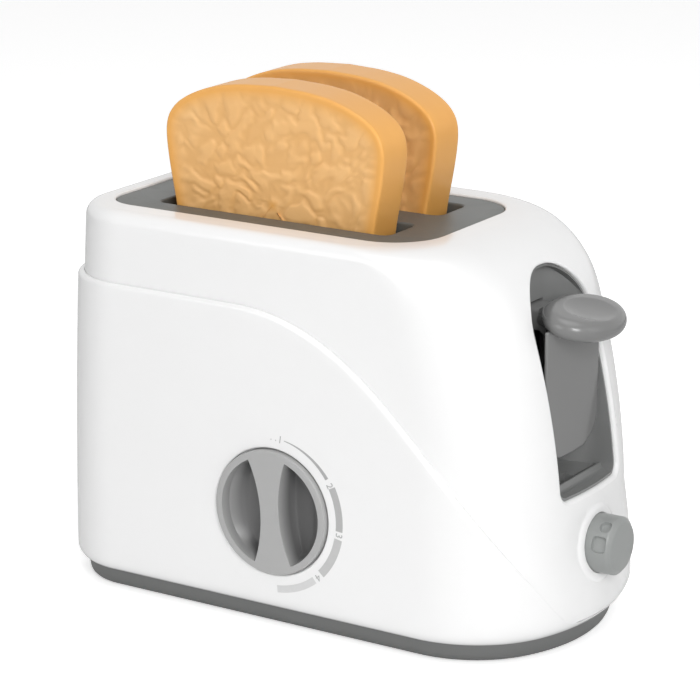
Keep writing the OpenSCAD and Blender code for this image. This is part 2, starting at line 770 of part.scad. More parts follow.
// Grip bar seen from the front: waisted in the middle and flared at both ends
module grip_shape(r) {
    hollow_r = 46;
    difference() {
        circle(r = r, $fn = round_n);
        for (s = [-1, 1]) translate([s * (grip_waist / 2 + hollow_r), 0])
            circle(r = hollow_r, $fn = 96);
    }
}

module dial_knob() color(dial_grey) {
    rim_r = dial_d / 2;
    bevel = 0.4;
    translate([dial_x, dial_front, dial_z]) rotate([-90, 0, 0]) {
        difference() {
            rotate_extrude($fn = 96) polygon([[0, 0], [rim_r - bevel, 0], [rim_r, bevel],
                [rim_r, dial_back - dial_front], [drum_r, dial_back - dial_front],
                [drum_r, drum_back - dial_front], [0, drum_back - dial_front]]);
            translate([0, 0, -cut]) cylinder(r = scoop_r, h = dial_dish + cut, $fn = 96);
            translate([0, 0, -cut]) linear_extrude(scoop_depth + cut) difference() {
                circle(r = scoop_r, $fn = 96);
                rotate(-grip_turn) grip_shape(scoop_r + cut);
            }
        }
        difference() {
            translate([0, 0, drum_back - dial_front]) cylinder(r = stem_r + 2,
                h = bracket_y[0] - drum_back - 0.3, $fn = round_n);
        }
        difference() {
            translate([0, 0, bracket_y[0] - 0.4 - dial_front]) cylinder(r = stem_r,
                h = wheel_y[1] - bracket_y[0] + 0.2, $fn = round_n);
            // flat that turns the click wheel, and the screw hole
            translate([-stem_r, 3, wheel_y[0] - dial_front])
                cube([2 * stem_r, stem_r, wheel_y[1] - wheel_y[0] + cut]);
            translate([0, 0, bracket_y[0] - dial_front]) cylinder(r = 1.25, h = 8, $fn = round_n);
        }
    }
}

module click_wheel() color("#d9d9d4") {
    notch_r = 0.9;
    translate([dial_x, wheel_y[0], dial_z]) rotate([-90, 0, 0])
        linear_extrude(wheel_y[1] - wheel_y[0]) difference() {
            circle(r = wheel_r, $fn = round_n);
            difference() {
                circle(r = stem_r + run_gap, $fn = round_n);
                translate([-stem_r, 3.05]) square([2 * stem_r, stem_r]);
            }
            for (i = [0:click_count - 1]) rotate(360 * i / click_count)
                translate([wheel_r, 0]) circle(r = notch_r, $fn = 16);
        }
}

module dial_screw() color(steel) {
    translate([dial_x, wheel_y[1] + 0.05, dial_z]) rotate([90, 0, 0]) screw(1.2, 5.2, 5.2, 1.4);
}

module click_spring() color(steel) {
    x = dial_x + wheel_r + 0.1;
    leaf_t = 0.5;
    across([wheel_y[0], wheel_y[1] - 0.4]) translate([x, dial_z]) polygon([
        [0, -13], [leaf_t, -13], [leaf_t, -1], [leaf_t - 0.4, 0], [leaf_t, 1], [leaf_t, 9],
        [0, 9], [0, 0.9], [-0.6, 0.3], [-0.6, -0.3], [0, -0.9]]);
    block([x, bracket_lug_x[1]], [wheel_y[0], wheel_y[1] - 0.4],
        [dial_z - 13.5, dial_z - 13]);
}

bracket_lug_x = [dial_x + wheel_r + 3, dial_x + wheel_r + 5.5];

module dial_bracket() color(well_grey) {
    difference() {
        union() {
            across(bracket_y) translate([dial_x, dial_z])
                rounded_rect([2 * bracket_half, bracket_h], 4);
            // lug that grips the click spring
            block(bracket_lug_x, [bracket_y[0], wheel_y[1]], [dial_z - 12.9, dial_z - 9]);
        }
        bar_y(stem_r + run_gap, dial_x, [bracket_y[0] - cut, bracket_y[1] + cut], dial_z);
        for (s = [-1, 1]) bar_y(1.7, dial_x + s * (bracket_half - 4),
            [bracket_y[0] - cut, bracket_y[1] + cut], dial_z);
    }
}

module bracket_screws() color(steel) {
    for (s = [-1, 1]) translate([dial_x + s * (bracket_half - 4), bracket_y[1], dial_z])
        rotate([90, 0, 0]) screw(1.25, bracket_screw_l, 2.8, 1.4);
}

// ---- button and latch ----

module pop_button() color("#9a9d9b") {
    r = button_d / 2;
    x0 = button_seat_x - rim_t;
    bevel = 0.9;
    translate([0, 0, button_z]) rotate([0, 90, 0]) rotate_extrude($fn = 72) polygon([
        [0, button_reach], [r - bevel, button_reach], [r, button_reach - bevel],
        [r, button_seat_x], [button_rim_r, button_seat_x], [button_rim_r, x0],
        [r - button_wall, x0], [r - button_wall, button_reach - 1.8], [0, button_reach - 1.8]]);
    both_sides() {
        // wing and prong that reach back past the skirt to the latch
        wing_x = [x0 - 2.5, x0 - 1.1];
        block([wing_x[0], x0 + 0.6], [r - 1.5, r + 1], prong_z);
        block(wing_x, [r - 1.5, prong_y[1]], prong_z);
        block([prong_tip_x, wing_x[1]], prong_y, prong_z);
    }
}

module button_spring() color(steel) {
    translate([stop_x[1], 0, button_z]) rotate([0, 90, 0])
        coil(6, 0.45, button_reach - 1.8 - stop_x[1], 5);
}

module latch_rocker() color("#d9d9d4") {
    arm_face = prong_tip_x - 0.3;
    nose_x = skirt_x - skirt_t - catch_out - 0.3;
    nose_z = [catch_z[1] - lever_travel + 0.4, catch_z[1] - lever_travel + 3.5];
    difference() {
        union() {
            bar_y(latch_barrel_r, latch_x, [-cheek_y[0] + 0.4, cheek_y[0] - 0.4], latch_z);
            across([-4, 4]) polygon([[latch_x - 1.4, latch_z], [latch_x + 1.4, latch_z],
                [latch_x + 1.4, nose_z[0]], [nose_x, nose_z[0]], [nose_x, nose_z[0] + 0.8],
                [latch_x + 1, nose_z[1]], [latch_x - 1.4, nose_z[1]]]);
            both_sides() block([latch_x - 1.2, arm_face], prong_y, [latch_z, prong_z[1]]);
        }
        bar_y(latch_pin_r + run_gap, latch_x, [-cheek_y[1], cheek_y[1]], latch_z);
    }
}

module latch_pin() color(steel) {
    bar_y(latch_pin_r, latch_x, [-cheek_y[1], cheek_y[1]], latch_z);
}

module latch_spring() color(steel) {
    translate([latch_spring_x[0], 0, latch_spring_z]) rotate([0, 90, 0])
        coil(2.2, 0.35, latch_spring_x[1] - latch_spring_x[0], 5);
}

// ---- screws that hold the housings ----

module base_screws() color(steel) {
    both_sides() for (p = base_posts) translate([p.x, p.y, base_bottom + screw_sink])
        screw(1.25, base_screw_l, 2.9, screw_sink - 0.1);
}

module plate_screws() color(steel) {
    both_sides() for (p = plate_posts) translate([p.x, p.y, plate_under - 1.6])
        screw(1.25, plate_screw_l, 2.8, 1.4);
}

module bridge_screws() color(steel) {
    for (z = bridge_screw_z) translate([bridge_x[0] + 2, 0, z])
        rotate([0, -90, 0]) screw(1.25, 6.6, 2.6, 1.4);
}

base_tray();
rubber_feet();
body_wrap();
upper_shell();
slot_plate();
slice_well_front();
slice_well_rear();
lever_surround();
rod_bridge();
guide_rods();
lift_spring();
button_spring();
latch_spring();
latch_pin();
click_spring();
dial_bracket();
base_screws();
plate_screws();
bridge_screws();
bracket_screws();
lever();
toast_carriage();
lever_screws();
toast_front();
toast_rear();
dial_knob();
click_wheel();
dial_screw();
pop_button();
latch_rocker();
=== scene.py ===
import math

import bmesh
import bpy
import numpy as np
from mathutils import Matrix, Vector


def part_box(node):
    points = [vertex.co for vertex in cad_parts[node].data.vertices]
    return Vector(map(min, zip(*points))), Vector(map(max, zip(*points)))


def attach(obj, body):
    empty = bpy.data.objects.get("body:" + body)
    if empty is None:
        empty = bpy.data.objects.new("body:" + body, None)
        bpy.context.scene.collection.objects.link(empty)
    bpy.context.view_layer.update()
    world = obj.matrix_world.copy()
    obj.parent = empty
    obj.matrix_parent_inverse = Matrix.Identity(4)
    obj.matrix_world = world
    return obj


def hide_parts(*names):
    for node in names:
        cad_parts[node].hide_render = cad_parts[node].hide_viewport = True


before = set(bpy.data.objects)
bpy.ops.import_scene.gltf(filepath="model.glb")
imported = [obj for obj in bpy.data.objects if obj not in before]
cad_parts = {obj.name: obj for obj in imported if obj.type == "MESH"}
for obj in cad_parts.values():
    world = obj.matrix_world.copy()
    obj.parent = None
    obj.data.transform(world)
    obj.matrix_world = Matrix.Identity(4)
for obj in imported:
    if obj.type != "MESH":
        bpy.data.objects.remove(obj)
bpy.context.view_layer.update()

mm = 0.001
print("frame loaded:", len(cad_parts), "nodes")


# small tools; sizes are in millimetres, meshes in metres

def sizesOf(node):
    low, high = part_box(node)
    return [c / mm for c in low], [c / mm for c in high]


def newObject(name, verts, faces):
    mesh = bpy.data.meshes.new(name)
    mesh.from_pydata([tuple(float(c) * mm for c in v) for v in verts], [], faces)
    piece = bpy.data.objects.new(name, mesh)
    bpy.context.scene.collection.objects.link(piece)
    return piece


def faceOutwards(piece, merge=True):
    bm = bmesh.new()
    bm.from_mesh(piece.data)
    if merge:
        bmesh.ops.remove_doubles(bm, verts=bm.verts, dist=1e-7)
    bmesh.ops.recalc_face_normals(bm, faces=bm.faces)
    bm.to_mesh(piece.data)
    bm.free()
    return piece


def ringFaces(ringCount, n):
    faces = []
    for a in range(0, (ringCount - 1) * n, n):
        for j in range(n):
            k = (j + 1) % n
            faces.append((a + j, a + k, a + n + k, a + n + j))
    return faces


def loft(name, rings, merge=True):
    # a closed solid from rings of equal counts, capped at both ends
    n, last = len(rings[0]), (len(rings) - 1) * len(rings[0])
    faces = ringFaces(len(rings), n)
    faces += [tuple(range(n - 1, -1, -1)), tuple(range(last, last + n))]
    return faceOutwards(newObject(name, [p for ring in rings for p in ring], faces), merge)


def revolve(name, profile, centre, axis, steps=96):
    # profile is a list of (radius, distance along the axis)
    rings = []
    for r, h in profile:
        ring = []
        for i in range(steps):
            a = 2 * math.pi * i / steps
            u, v = r * math.cos(a), r * math.sin(a)
            ring.append({"x": (h, u, v), "y": (v, h, u), "z": (u, v, h)}[axis])
        rings.append([tuple(c + p for c, p in zip(centre, point)) for point in ring])
    return loft(name, rings)


def block(name, x, y, z):
    verts = [(x[i], y[j], z[k]) for i in (0, 1) for j in (0, 1) for k in (0, 1)]
    faces = [(0, 1, 3, 2), (4, 6, 7, 5), (0, 4, 5, 1), (2, 3, 7, 6), (0, 2, 6, 4), (1, 5, 7, 3)]
    return newObject(name, verts, faces)


def settle(piece):
    # applies the piece's modifiers
    graph = bpy.context.evaluated_depsgraph_get()
    mesh = bpy.data.meshes.new_from_object(piece.evaluated_get(graph))
    piece.modifiers.clear()
    piece.data = mesh
    return piece


def combine(piece, others, operation="DIFFERENCE"):
    for other in others:
        cut = piece.modifiers.new("cut", "BOOLEAN")
        cut.object = other
        cut.operation = operation
        cut.solver = "EXACT"
    settle(piece)
    for other in others:
        bpy.data.objects.remove(other)
    return piece


def joinPieces(name, pieces):
    bm = bmesh.new()
    for piece in pieces:
        bm.from_mesh(piece.data)
        bpy.data.objects.remove(piece)
    mesh = bpy.data.meshes.new(name)
    bm.to_mesh(mesh)
    bm.free()
    joined = bpy.data.objects.new(name, mesh)
    bpy.context.scene.collection.objects.link(joined)
    return joined


def roundEdges(piece, width, segments=3, angle=32):
    bevel = piece.modifiers.new("bevel", "BEVEL")
    bevel.width = width * mm
    bevel.segments = segments
    bevel.limit_method = "ANGLE"
    bevel.angle_limit = math.radians(angle)
    bevel.harden_normals = False
    return settle(piece)


def shade(piece, angle=32):
    piece.data.shade_smooth()
    piece.data.set_sharp_from_angle(angle=math.radians(angle))
    return piece


def arcPoints(cx, cy, r, start, end, steps):
    angles = np.radians(np.linspace(start, end, steps + 1))
    return np.column_stack([cx + r * np.cos(angles), cy + r * np.sin(angles)])


def linePoints(a, b, steps):
    # the points between two ends, without the ends
    t = np.arange(1, steps)[:, None] / steps
    return np.asarray(a) * (1 - t) + np.asarray(b) * t


def withValues(piece, name, values):
    # a value for each point, kept on the mesh for a tree or a material to read
    attribute = piece.data.attributes.new(name, "FLOAT", "POINT")
    attribute.data.foreach_set("value", np.array(values, np.float32))
    return piece


def finishPiece(piece, body, material, slot, *nodes):
    if material is not None:
        piece.data.materials.clear()
        piece.data.materials.append(material)
    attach(piece, body)
    if nodes:
        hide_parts(*nodes)
    return piece


# materials

def makeGroup(name, inputs, outputs):
    tree = bpy.data.node_groups.new(name, "ShaderNodeTree")
    for label, kind, value in inputs:
        socket = tree.interface.new_socket(label, in_out="INPUT", socket_type=kind)
        if value is not None:
            socket.default_value = value
    for label, kind in outputs:
        tree.interface.new_socket(label, in_out="OUTPUT", socket_type=kind)
    return tree, tree.nodes.new("NodeGroupInput"), tree.nodes.new("NodeGroupOutput")


def addNode(tree, kind, links=(), **values):
    node = tree.nodes.new(kind)
    for key, value in values.items():
        if hasattr(node, key):
            setattr(node, key, value)
    for target, source in links:
        socket = node.inputs[target]
        if isinstance(source, (int, float, str, tuple)):
            socket.default_value = source
        else:
            tree.links.new(source, socket)
    return node


def newMaterial(name):
    material = bpy.data.materials.new(name)
    material.use_nodes = True
    return material, material.node_tree, material.node_tree.nodes["Principled BSDF"]


def mixColours(tree, factor, a, b):
    mix = addNode(tree, "ShaderNodeMix", [("Factor", factor)], data_type="RGBA")
    for label, colour in (("A", a), ("B", b)):
        if isinstance(colour, tuple):
            mix.inputs[label].default_value = (*colour, 1)
        else:
            tree.links.new(colour, mix.inputs[label])
    return mix.outputs["Result"]


def buildGrain():
    # fine moulded grain: a height, and a slow patchiness of the gloss
    tree, given, result = makeGroup("mouldedGrain", [
        ("Grain Scale", "NodeSocketFloat", 900.0),
        ("Patch Scale", "NodeSocketFloat", 22.0)],
        [("Height", "NodeSocketFloat"), ("Patches", "NodeSocketFloat")])
    place = addNode(tree, "ShaderNodeTexCoord").outputs["Object"]
    fine = addNode(tree, "ShaderNodeTexNoise",
                   [("Vector", place), ("Scale", given.outputs["Grain Scale"]), ("Detail", 3.0)])
    slow = addNode(tree, "ShaderNodeTexNoise",
                   [("Vector", place), ("Scale", given.outputs["Patch Scale"]), ("Detail", 4.0),
                    ("Roughness", 0.6)])
    tree.links.new(fine.outputs["Fac"], result.inputs["Height"])
    tree.links.new(slow.outputs["Fac"], result.inputs["Patches"])
    return tree


def buildScuffs():
    # faint rubbed streaks that break up a handled surface
    tree, given, result = makeGroup("handlingScuffs", [
        ("Scuff Scale", "NodeSocketFloat", 160.0),
        ("Cover", "NodeSocketFloat", 0.6)],
        [("Mask", "NodeSocketFloat")])
    place = addNode(tree, "ShaderNodeTexCoord").outputs["Object"]
    stretched = addNode(tree, "ShaderNodeMapping", [("Vector", place), ("Scale", (1.0, 1.0, 0.18)),
                                                    ("Rotation", (0.4, 0.5, 0.2))])
    streaks = addNode(tree, "ShaderNodeTexNoise",
                      [("Vector", stretched.outputs["Vector"]),
                       ("Scale", given.outputs["Scuff Scale"]), ("Detail", 5.0)])
    mask = addNode(tree, "ShaderNodeMapRange",
                   [("Value", streaks.outputs["Fac"]), ("From Min", given.outputs["Cover"]),
                    ("From Max", 0.85)])
    tree.links.new(mask.outputs["Result"], result.inputs["Mask"])
    return tree


grainGroup = buildGrain()
scuffGroup = buildScuffs()


def plastic(name, look):
    material, tree, shader = newMaterial(name)
    shader.inputs["Specular IOR Level"].default_value = look.get("specular", 0.5)
    shader.inputs["Coat Weight"].default_value = look.get("coat", 0.0)
    shader.inputs["Coat Roughness"].default_value = 0.08
    grain = addNode(tree, "ShaderNodeGroup", node_tree=grainGroup)
    grain.inputs["Grain Scale"].default_value = 900.0
    grain.inputs["Patch Scale"].default_value = 22.0
    scuffs = addNode(tree, "ShaderNodeGroup", node_tree=scuffGroup)
    scuffs.inputs["Cover"].default_value = 0.62
    vary = look.get("variation", 0.03)
    darker, lighter = (tuple(min(1, c * k) for c in look["colour"]) for k in (1 - vary, 1 + vary))
    toned = mixColours(tree, grain.outputs["Patches"], darker, lighter)
    tree.links.new(toned, shader.inputs["Base Color"])
    rough = addNode(tree, "ShaderNodeMapRange",
                    [("Value", grain.outputs["Patches"]), ("From Min", 0.3), ("From Max", 0.7),
                     ("To Min", look["roughness"] * 0.9), ("To Max", look["roughness"] * 1.12)])
    rubbed = addNode(tree, "ShaderNodeMath", [(0, scuffs.outputs["Mask"]),
                                              (1, look.get("scuffs", 0.08)),
                                              (2, rough.outputs["Result"])], operation="MULTIPLY_ADD")
    tree.links.new(rubbed.outputs["Value"], shader.inputs["Roughness"])
    bump = addNode(tree, "ShaderNodeBump", [("Height", grain.outputs["Height"]),
                                            ("Strength", look.get("bump", 0.05)),
                                            ("Distance", 0.0002)])
    tree.links.new(bump.outputs["Normal"], shader.inputs["Normal"])
    return material


looks = {
    "shellWhite": {"colour": (0.86, 0.86, 0.86), "roughness": 0.22, "bump": 0.02, "variation": 0.008,
                   "coat": 0.25, "scuffs": 0.04},
    "plateGrey": {"colour": (0.1, 0.106, 0.101), "roughness": 0.42, "bump": 0.12},
    "baseGrey": {"colour": (0.142, 0.145, 0.143), "roughness": 0.45, "bump": 0.14},
    "leverGrey": {"colour": (0.185, 0.186, 0.184), "roughness": 0.22, "bump": 0.06},
    "recessGrey": {"colour": (0.215, 0.218, 0.216), "roughness": 0.4, "bump": 0.1},
    "dialGrey": {"colour": (0.40, 0.40, 0.398), "roughness": 0.38, "bump": 0.08},
    "buttonGrey": {"colour": (0.285, 0.296, 0.29), "roughness": 0.32, "bump": 0.06},
    "wellGrey": {"colour": (0.06, 0.063, 0.062), "roughness": 0.6, "bump": 0.2},
    "naturalPlastic": {"colour": (0.69, 0.69, 0.65), "roughness": 0.4, "bump": 0.08},
    "footRubber": {"colour": (0.045, 0.046, 0.046), "roughness": 0.75, "bump": 0.4, "specular": 0.3},
}
materials = {name: plastic(name, look) for name, look in looks.items()}


def steelMaterial():
    material, tree, shader = newMaterial("wireSteel")
    shader.inputs["Metallic"].default_value = 1.0
    shader.inputs["Base Color"].default_value = (0.55, 0.56, 0.57, 1)
    grain = addNode(tree, "ShaderNodeGroup", node_tree=grainGroup)
    rough = addNode(tree, "ShaderNodeMapRange", [("Value", grain.outputs["Height"]),
                                                 ("To Min", 0.22), ("To Max", 0.42)])
    tree.links.new(rough.outputs["Result"], shader.inputs["Roughness"])
    return material


materials["steel"] = steelMaterial()
print("materials ready")


# the body's outline, which the shell, the wrap and the base share

shellLow, shellHigh = sizesOf("upper_shell")
body = {
    "halfWidth": shellHigh[1],
    "top": shellHigh[2],
    "left": 90.5,
    "endLean": 5.5,        # how far the flat end leans out at the floor
    "noseReach": shellHigh[0],
    "foot": shellLow[2],
    "wall": 2.4,
    "endCornerR": 24,
    "edgeR": 4.5,          # round edge of the top face
    "noseProfileR": 255,   # side view of the nose
    "noseLean": 18.4,
    "shoulderR": 34,
    "nosePlanR": 59,       # plan of the nose at the floor and at the top
    "nosePlanTopR": 228,
    "noseCornerR": 38,
    "noseCornerTopR": 28,
    "noseBulge": 2.2,      # how far the foot of the nose swells
    "cornerSteps": 18,
    "noseSteps": 26,
    "sideSteps": 90,
    "endSteps": 16,
}
lean = math.radians(body["noseLean"])
noseArcZ = body["top"] - body["shoulderR"]


def leanZ(out):
    return noseArcZ + (body["shoulderR"] + out) * math.sin(lean)


noseFootZ = leanZ(0) - body["noseProfileR"] * math.tan(lean)


def noseSetback(z):
    return max(0, z - noseFootZ) ** 2 / (2 * body["noseProfileR"])


noseArcX = body["noseReach"] - noseSetback(leanZ(0)) - body["shoulderR"] * math.cos(lean)


def smoothStep(t):
    t = np.clip(t, 0, 1)
    return t * t * (3 - 2 * t)


def noseX(z, out):
    if z < leanZ(out):
        swell = smoothStep((z - 6) / 8) * math.exp(-(max(0, z - 13) / 17) ** 2)
        return body["noseReach"] + out - noseSetback(z) + body["noseBulge"] * float(swell)
    return noseArcX + math.sqrt(max(0, (body["shoulderR"] + out) ** 2 - (z - noseArcZ) ** 2))


def edgeIn(z, out):
    start = body["top"] - body["edgeR"]
    if z < start:
        return 0
    r = body["edgeR"] + out
    return r - math.sqrt(max(0, r * r - (z - start) ** 2))


def planSizes(z, side, tip):
    inset = edgeIn(z, side)
    t = z / body["top"]
    half = body["halfWidth"] + side - inset
    frontR = body["nosePlanR"] * (1 - t) + body["nosePlanTopR"] * t + tip
    cornerR = body["noseCornerR"] * (1 - t) + body["noseCornerTopR"] * t + side
    reach = math.sqrt((frontR - cornerR) ** 2 - (half - cornerR) ** 2)
    return {"half": half, "frontR": frontR, "cornerR": cornerR, "reach": reach,
            "frontX": noseX(z, tip) - frontR, "turn": math.degrees(math.atan2(half - cornerR, reach)),
            "endR": body["endCornerR"] + side - inset, "inset": inset,
            "lean": body["endLean"] * (1 - 0.85 * t * t)}


def bodyOutline(z, side, tip=None):
    # plan outline at height z, counterclockwise seen from above
    p = planSizes(z, side, side if tip is None else tip)
    endX = p["inset"] - body["left"] - side + p["endR"] - p["lean"]
    noseMidX = p["frontX"] + p["reach"]
    low = p["half"] - p["endR"]
    corner = p["half"] - p["cornerR"]
    steps = body["cornerSteps"]
    return np.vstack([
        arcPoints(endX, -low, p["endR"], 180, 270, steps),
        linePoints((endX, -p["half"]), (noseMidX, -p["half"]), body["sideSteps"]),
        arcPoints(noseMidX, -corner, p["cornerR"], -90, -p["turn"], steps),
        arcPoints(p["frontX"], 0, p["frontR"], -p["turn"], p["turn"], body["noseSteps"])[1:-1],
        arcPoints(noseMidX, corner, p["cornerR"], p["turn"], 90, steps),
        linePoints((noseMidX, p["half"]), (endX, p["half"]), body["sideSteps"]),
        arcPoints(endX, low, p["endR"], 90, 180, steps),
        linePoints((endX - p["endR"], low), (endX - p["endR"], -low), body["endSteps"])])


def atHeight(outline, z):
    return np.column_stack([outline, np.full(len(outline), z)])


def bodyLevels(z0, out, straight=44, shoulder=12, edge=8):
    z1 = leanZ(out)
    edgeStart = math.asin((body["shoulderR"] - body["edgeR"]) / (body["shoulderR"] + out))
    levels = list(np.linspace(z0, z1, straight, endpoint=False))
    levels += [noseArcZ + (body["shoulderR"] + out) * math.sin(a)
               for a in np.linspace(lean, edgeStart, shoulder, endpoint=False)]
    levels += [body["top"] - body["edgeR"] + (body["edgeR"] + out) * math.sin(a)
               for a in np.linspace(0, math.pi / 2, edge)]
    return levels


# the wrap that stands proud of the lower body, with its swept upper edge

wrap = {
    "proud": 2.2,
    "noseProud": 1.4,
    "foot": 7.2,
    "footR": 5,
    "roll": 58,
    "gap": 0.12,
    "ledge": 3.4,
    "edgeR": 1.5,
    "sweep": [[(-20, 109.8), (12, 109.8), (32, 91), (52, 71)],
              [(52, 71), (68, 55), (86.8, 31), (91.5, 10)]],
    "rows": 46,
}


def cubicPoints(p, steps=40):
    t = np.linspace(0, 1, steps + 1)[:, None]
    s = 1 - t
    p = np.asarray(p, float)
    return s ** 3 * p[0] + 3 * s * s * t * p[1] + 3 * s * t * t * p[2] + t ** 3 * p[3]


sweepLine = np.vstack([cubicPoints(p) for p in wrap["sweep"]])


def sweepZ(x):
    return np.interp(x, sweepLine[:, 0], sweepLine[:, 1])


def sweepSlope(x):
    return (sweepZ(x + 0.5) - sweepZ(x - 0.5))


def meetWrap(x, z):
    # the shell swells towards the foot of the nose until it is flush with the wrap
    return 0.94 * wrap["noseProud"] * smoothStep((x - 73) / 12) * smoothStep((sweepZ(x) + 18 - z) / 18)


def noseSurface(y, z):
    # where the nose's outer face lies over a point of its front view
    p = planSizes(z, 0, 0)
    if abs(y) <= p["frontR"] * math.sin(math.radians(p["turn"])):
        x = p["frontX"] + math.sqrt(p["frontR"] ** 2 - y * y)
    else:
        across = abs(y) - (p["half"] - p["cornerR"])
        x = p["frontX"] + p["reach"] + math.sqrt(max(0, p["cornerR"] ** 2 - across ** 2))
    return x + float(meetWrap(x, z))


def roundedOutline(left, right, low, high, radii, grow=0, step=1.5):
    # rounded rectangle in the plane of an opening; radii from low left, counterclockwise
    corners = [(left, low), (right, low), (right, high), (left, high)]
    insets = [(1, 1), (-1, 1), (-1, -1), (1, -1)]
    points = []
    for i in range(4):
        r = radii[i]
        cx, cy = corners[i][0] + insets[i][0] * r, corners[i][1] + insets[i][1] * r
        arc = arcPoints(cx, cy, r + grow, 180 + 90 * i, 270 + 90 * i, max(4, int(r * 1.6) + 3))
        points.append(arc)
    result = []
    for i in range(4):
        a, b = points[i][-1], points[(i + 1) % 4][0]
        plain = corners[(i + 1) % 4][0] - corners[i][0] + corners[(i + 1) % 4][1] - corners[i][1]
        result += [points[i], linePoints(a, b, max(2, int(abs(plain) / step)))]
    return np.vstack(result)


def flaredCut(name, outline, lip, surface, place, far, deep, steps=7):
    # cutter for an opening with a rounded lip, from a flat end outside to one inside
    outer = outline(lip + 1.2)
    rings = [[place(a, b, far) for a, b in outer]]
    rings.append([place(a, b, surface(a, b) + 1.5) for a, b in outer])
    for t in np.radians(np.linspace(9, 90, steps)):
        ring = outline(lip * (1 - math.sin(t)))
        sink = lip * (1 - math.cos(t))
        rings.append([place(a, b, surface(a, b) - sink) for a, b in ring])
    rings.append([place(a, b, deep) for a, b in outline(0)])
    return loft(name, rings)


# upper shell

plateHigh = sizesOf("slot_plate")[1]
plate = {
    "middle": -20.8,
    "halfLength": 61.75,
    "halfWidth": plateHigh[1] - 2,
    "top": plateHigh[2],
    "under": 129.2,
    "endR": 13,
    "noseR": 18,
    "gap": 0.15,
    "edgeR": 0.5,
    "slotHalfLength": 45.5,
    "slotHalfWidth": 9,
    "slotY": 16.5,
    "slotR": 3,
    "slotLip": 0.8,
}
opening = {
    "half": 19.5,
    "foot": 51.6,
    "top": 124,
    "topR": 18.5,
    "footR": 4.0,
    "lip": 1.4,
}
buttonBore = {"z": 33.6, "r": 9.88, "lip": 0.35, "collar": 3.2, "rise": 0.7}
dial = {
    "x": -4.0,
    "z": 41.3,
    "front": sizesOf("dial_knob")[0][1],
    "rimR": 21.4,
    "drumR": 20.0,
    "scoopR": 19.0,
    "back": -48.8,
    "drumBack": -42.3,
    "dish": 0.0,
    "bevel": 0.35,
    "depth": 7.9,
    "waist": 7.2,
    "hollowR": 46,
    "turn": 3.8,
    # painted shade in the finger scoops: how strongly the colour is darkened, and the dark colour it goes
    # to
    "paintedScoopShade": 0.72,
    "paintedShadeColour": (0.03, 0.03, 0.031),
}


def plateOutline(grow):
    radii = [plate["endR"], plate["noseR"], plate["noseR"], plate["endR"]]
    return roundedOutline(plate["middle"] - plate["halfLength"], plate["middle"] + plate["halfLength"],
                          -plate["halfWidth"], plate["halfWidth"], radii, grow, 4)


def leverOutline(grow):
    radii = [opening["footR"], opening["footR"], opening["topR"], opening["topR"]]
    return roundedOutline(-opening["half"], opening["half"], opening["foot"], opening["top"],
                          radii, grow)


def boreOutline(grow):
    return arcPoints(0, buttonBore["z"], buttonBore["r"] + grow, 0, 360, 64)[:-1]


def dialOutline(r):
    return arcPoints(dial["x"], dial["z"], r, 0, 360, 96)[:-1]


def bodyShell():
    wall = body["wall"]
    outer = []
    for z in bodyLevels(body["foot"], 0):
        flat = bodyOutline(z, 0)
        flush = meetWrap(flat[:, 0], z)[:, None] if z < 90 else 0
        level = min(z, 100)
        outwards = bodyOutline(level, 1) - bodyOutline(level, 0)
        outer.append(atHeight(flat + flush * outwards, z))
    inner = [atHeight(bodyOutline(z, -wall), z) for z in bodyLevels(body["foot"], -wall, 20, 6, 3)]
    return loft("upperShell", outer[::-1] + inner)


def buildUpperShell():
    shell = bodyShell()
    top = body["top"]
    plateCut = flaredCut("plateCut", lambda g: plateOutline(plate["gap"] + g), 0.7,
                         lambda a, b: top, lambda a, b, d: (a, b, d), top + 4,
                         plate["under"] - 6, 5)
    leverCut = flaredCut("leverCut", leverOutline, opening["lip"], noseSurface,
                         lambda a, b, d: (d, a, b), 104, 56)
    boreCut = flaredCut("boreCut", boreOutline, buttonBore["lip"],
                        lambda a, b: noseSurface(a, b) + buttonBore["rise"],
                        lambda a, b, d: (d, a, b), 104, 70)
    dialCut = loft("dialCut", [[(a, y, b) for a, b in dialOutline(dial["drumR"] + 0.2)]
                               for y in (-60, -30)])
    # low collar that the nose rises to round the button
    grow, rise = buttonBore["collar"], buttonBore["rise"]
    profile = [(grow + 1, -1.2), (grow, -0.1), (grow * 0.82, rise * 0.35), (grow * 0.6, rise * 0.75),
               (grow * 0.4, rise * 0.95), (grow * 0.2, rise), (-0.6, rise), (-4, rise), (-8, rise)]
    collar = loft("collar", [[(noseSurface(a, b) + out, a, b) for a, b in boreOutline(g)]
                             for g, out in profile])
    combine(shell, [collar], "UNION")
    combine(shell, [plateCut, leverCut, boreCut, dialCut])
    return shade(shell)


upperShell = finishPiece(buildUpperShell(), "housing", materials["shellWhite"], "shell_white",
                         "upper_shell")
print("upper shell:", len(upperShell.data.polygons), "faces")


# body wrap

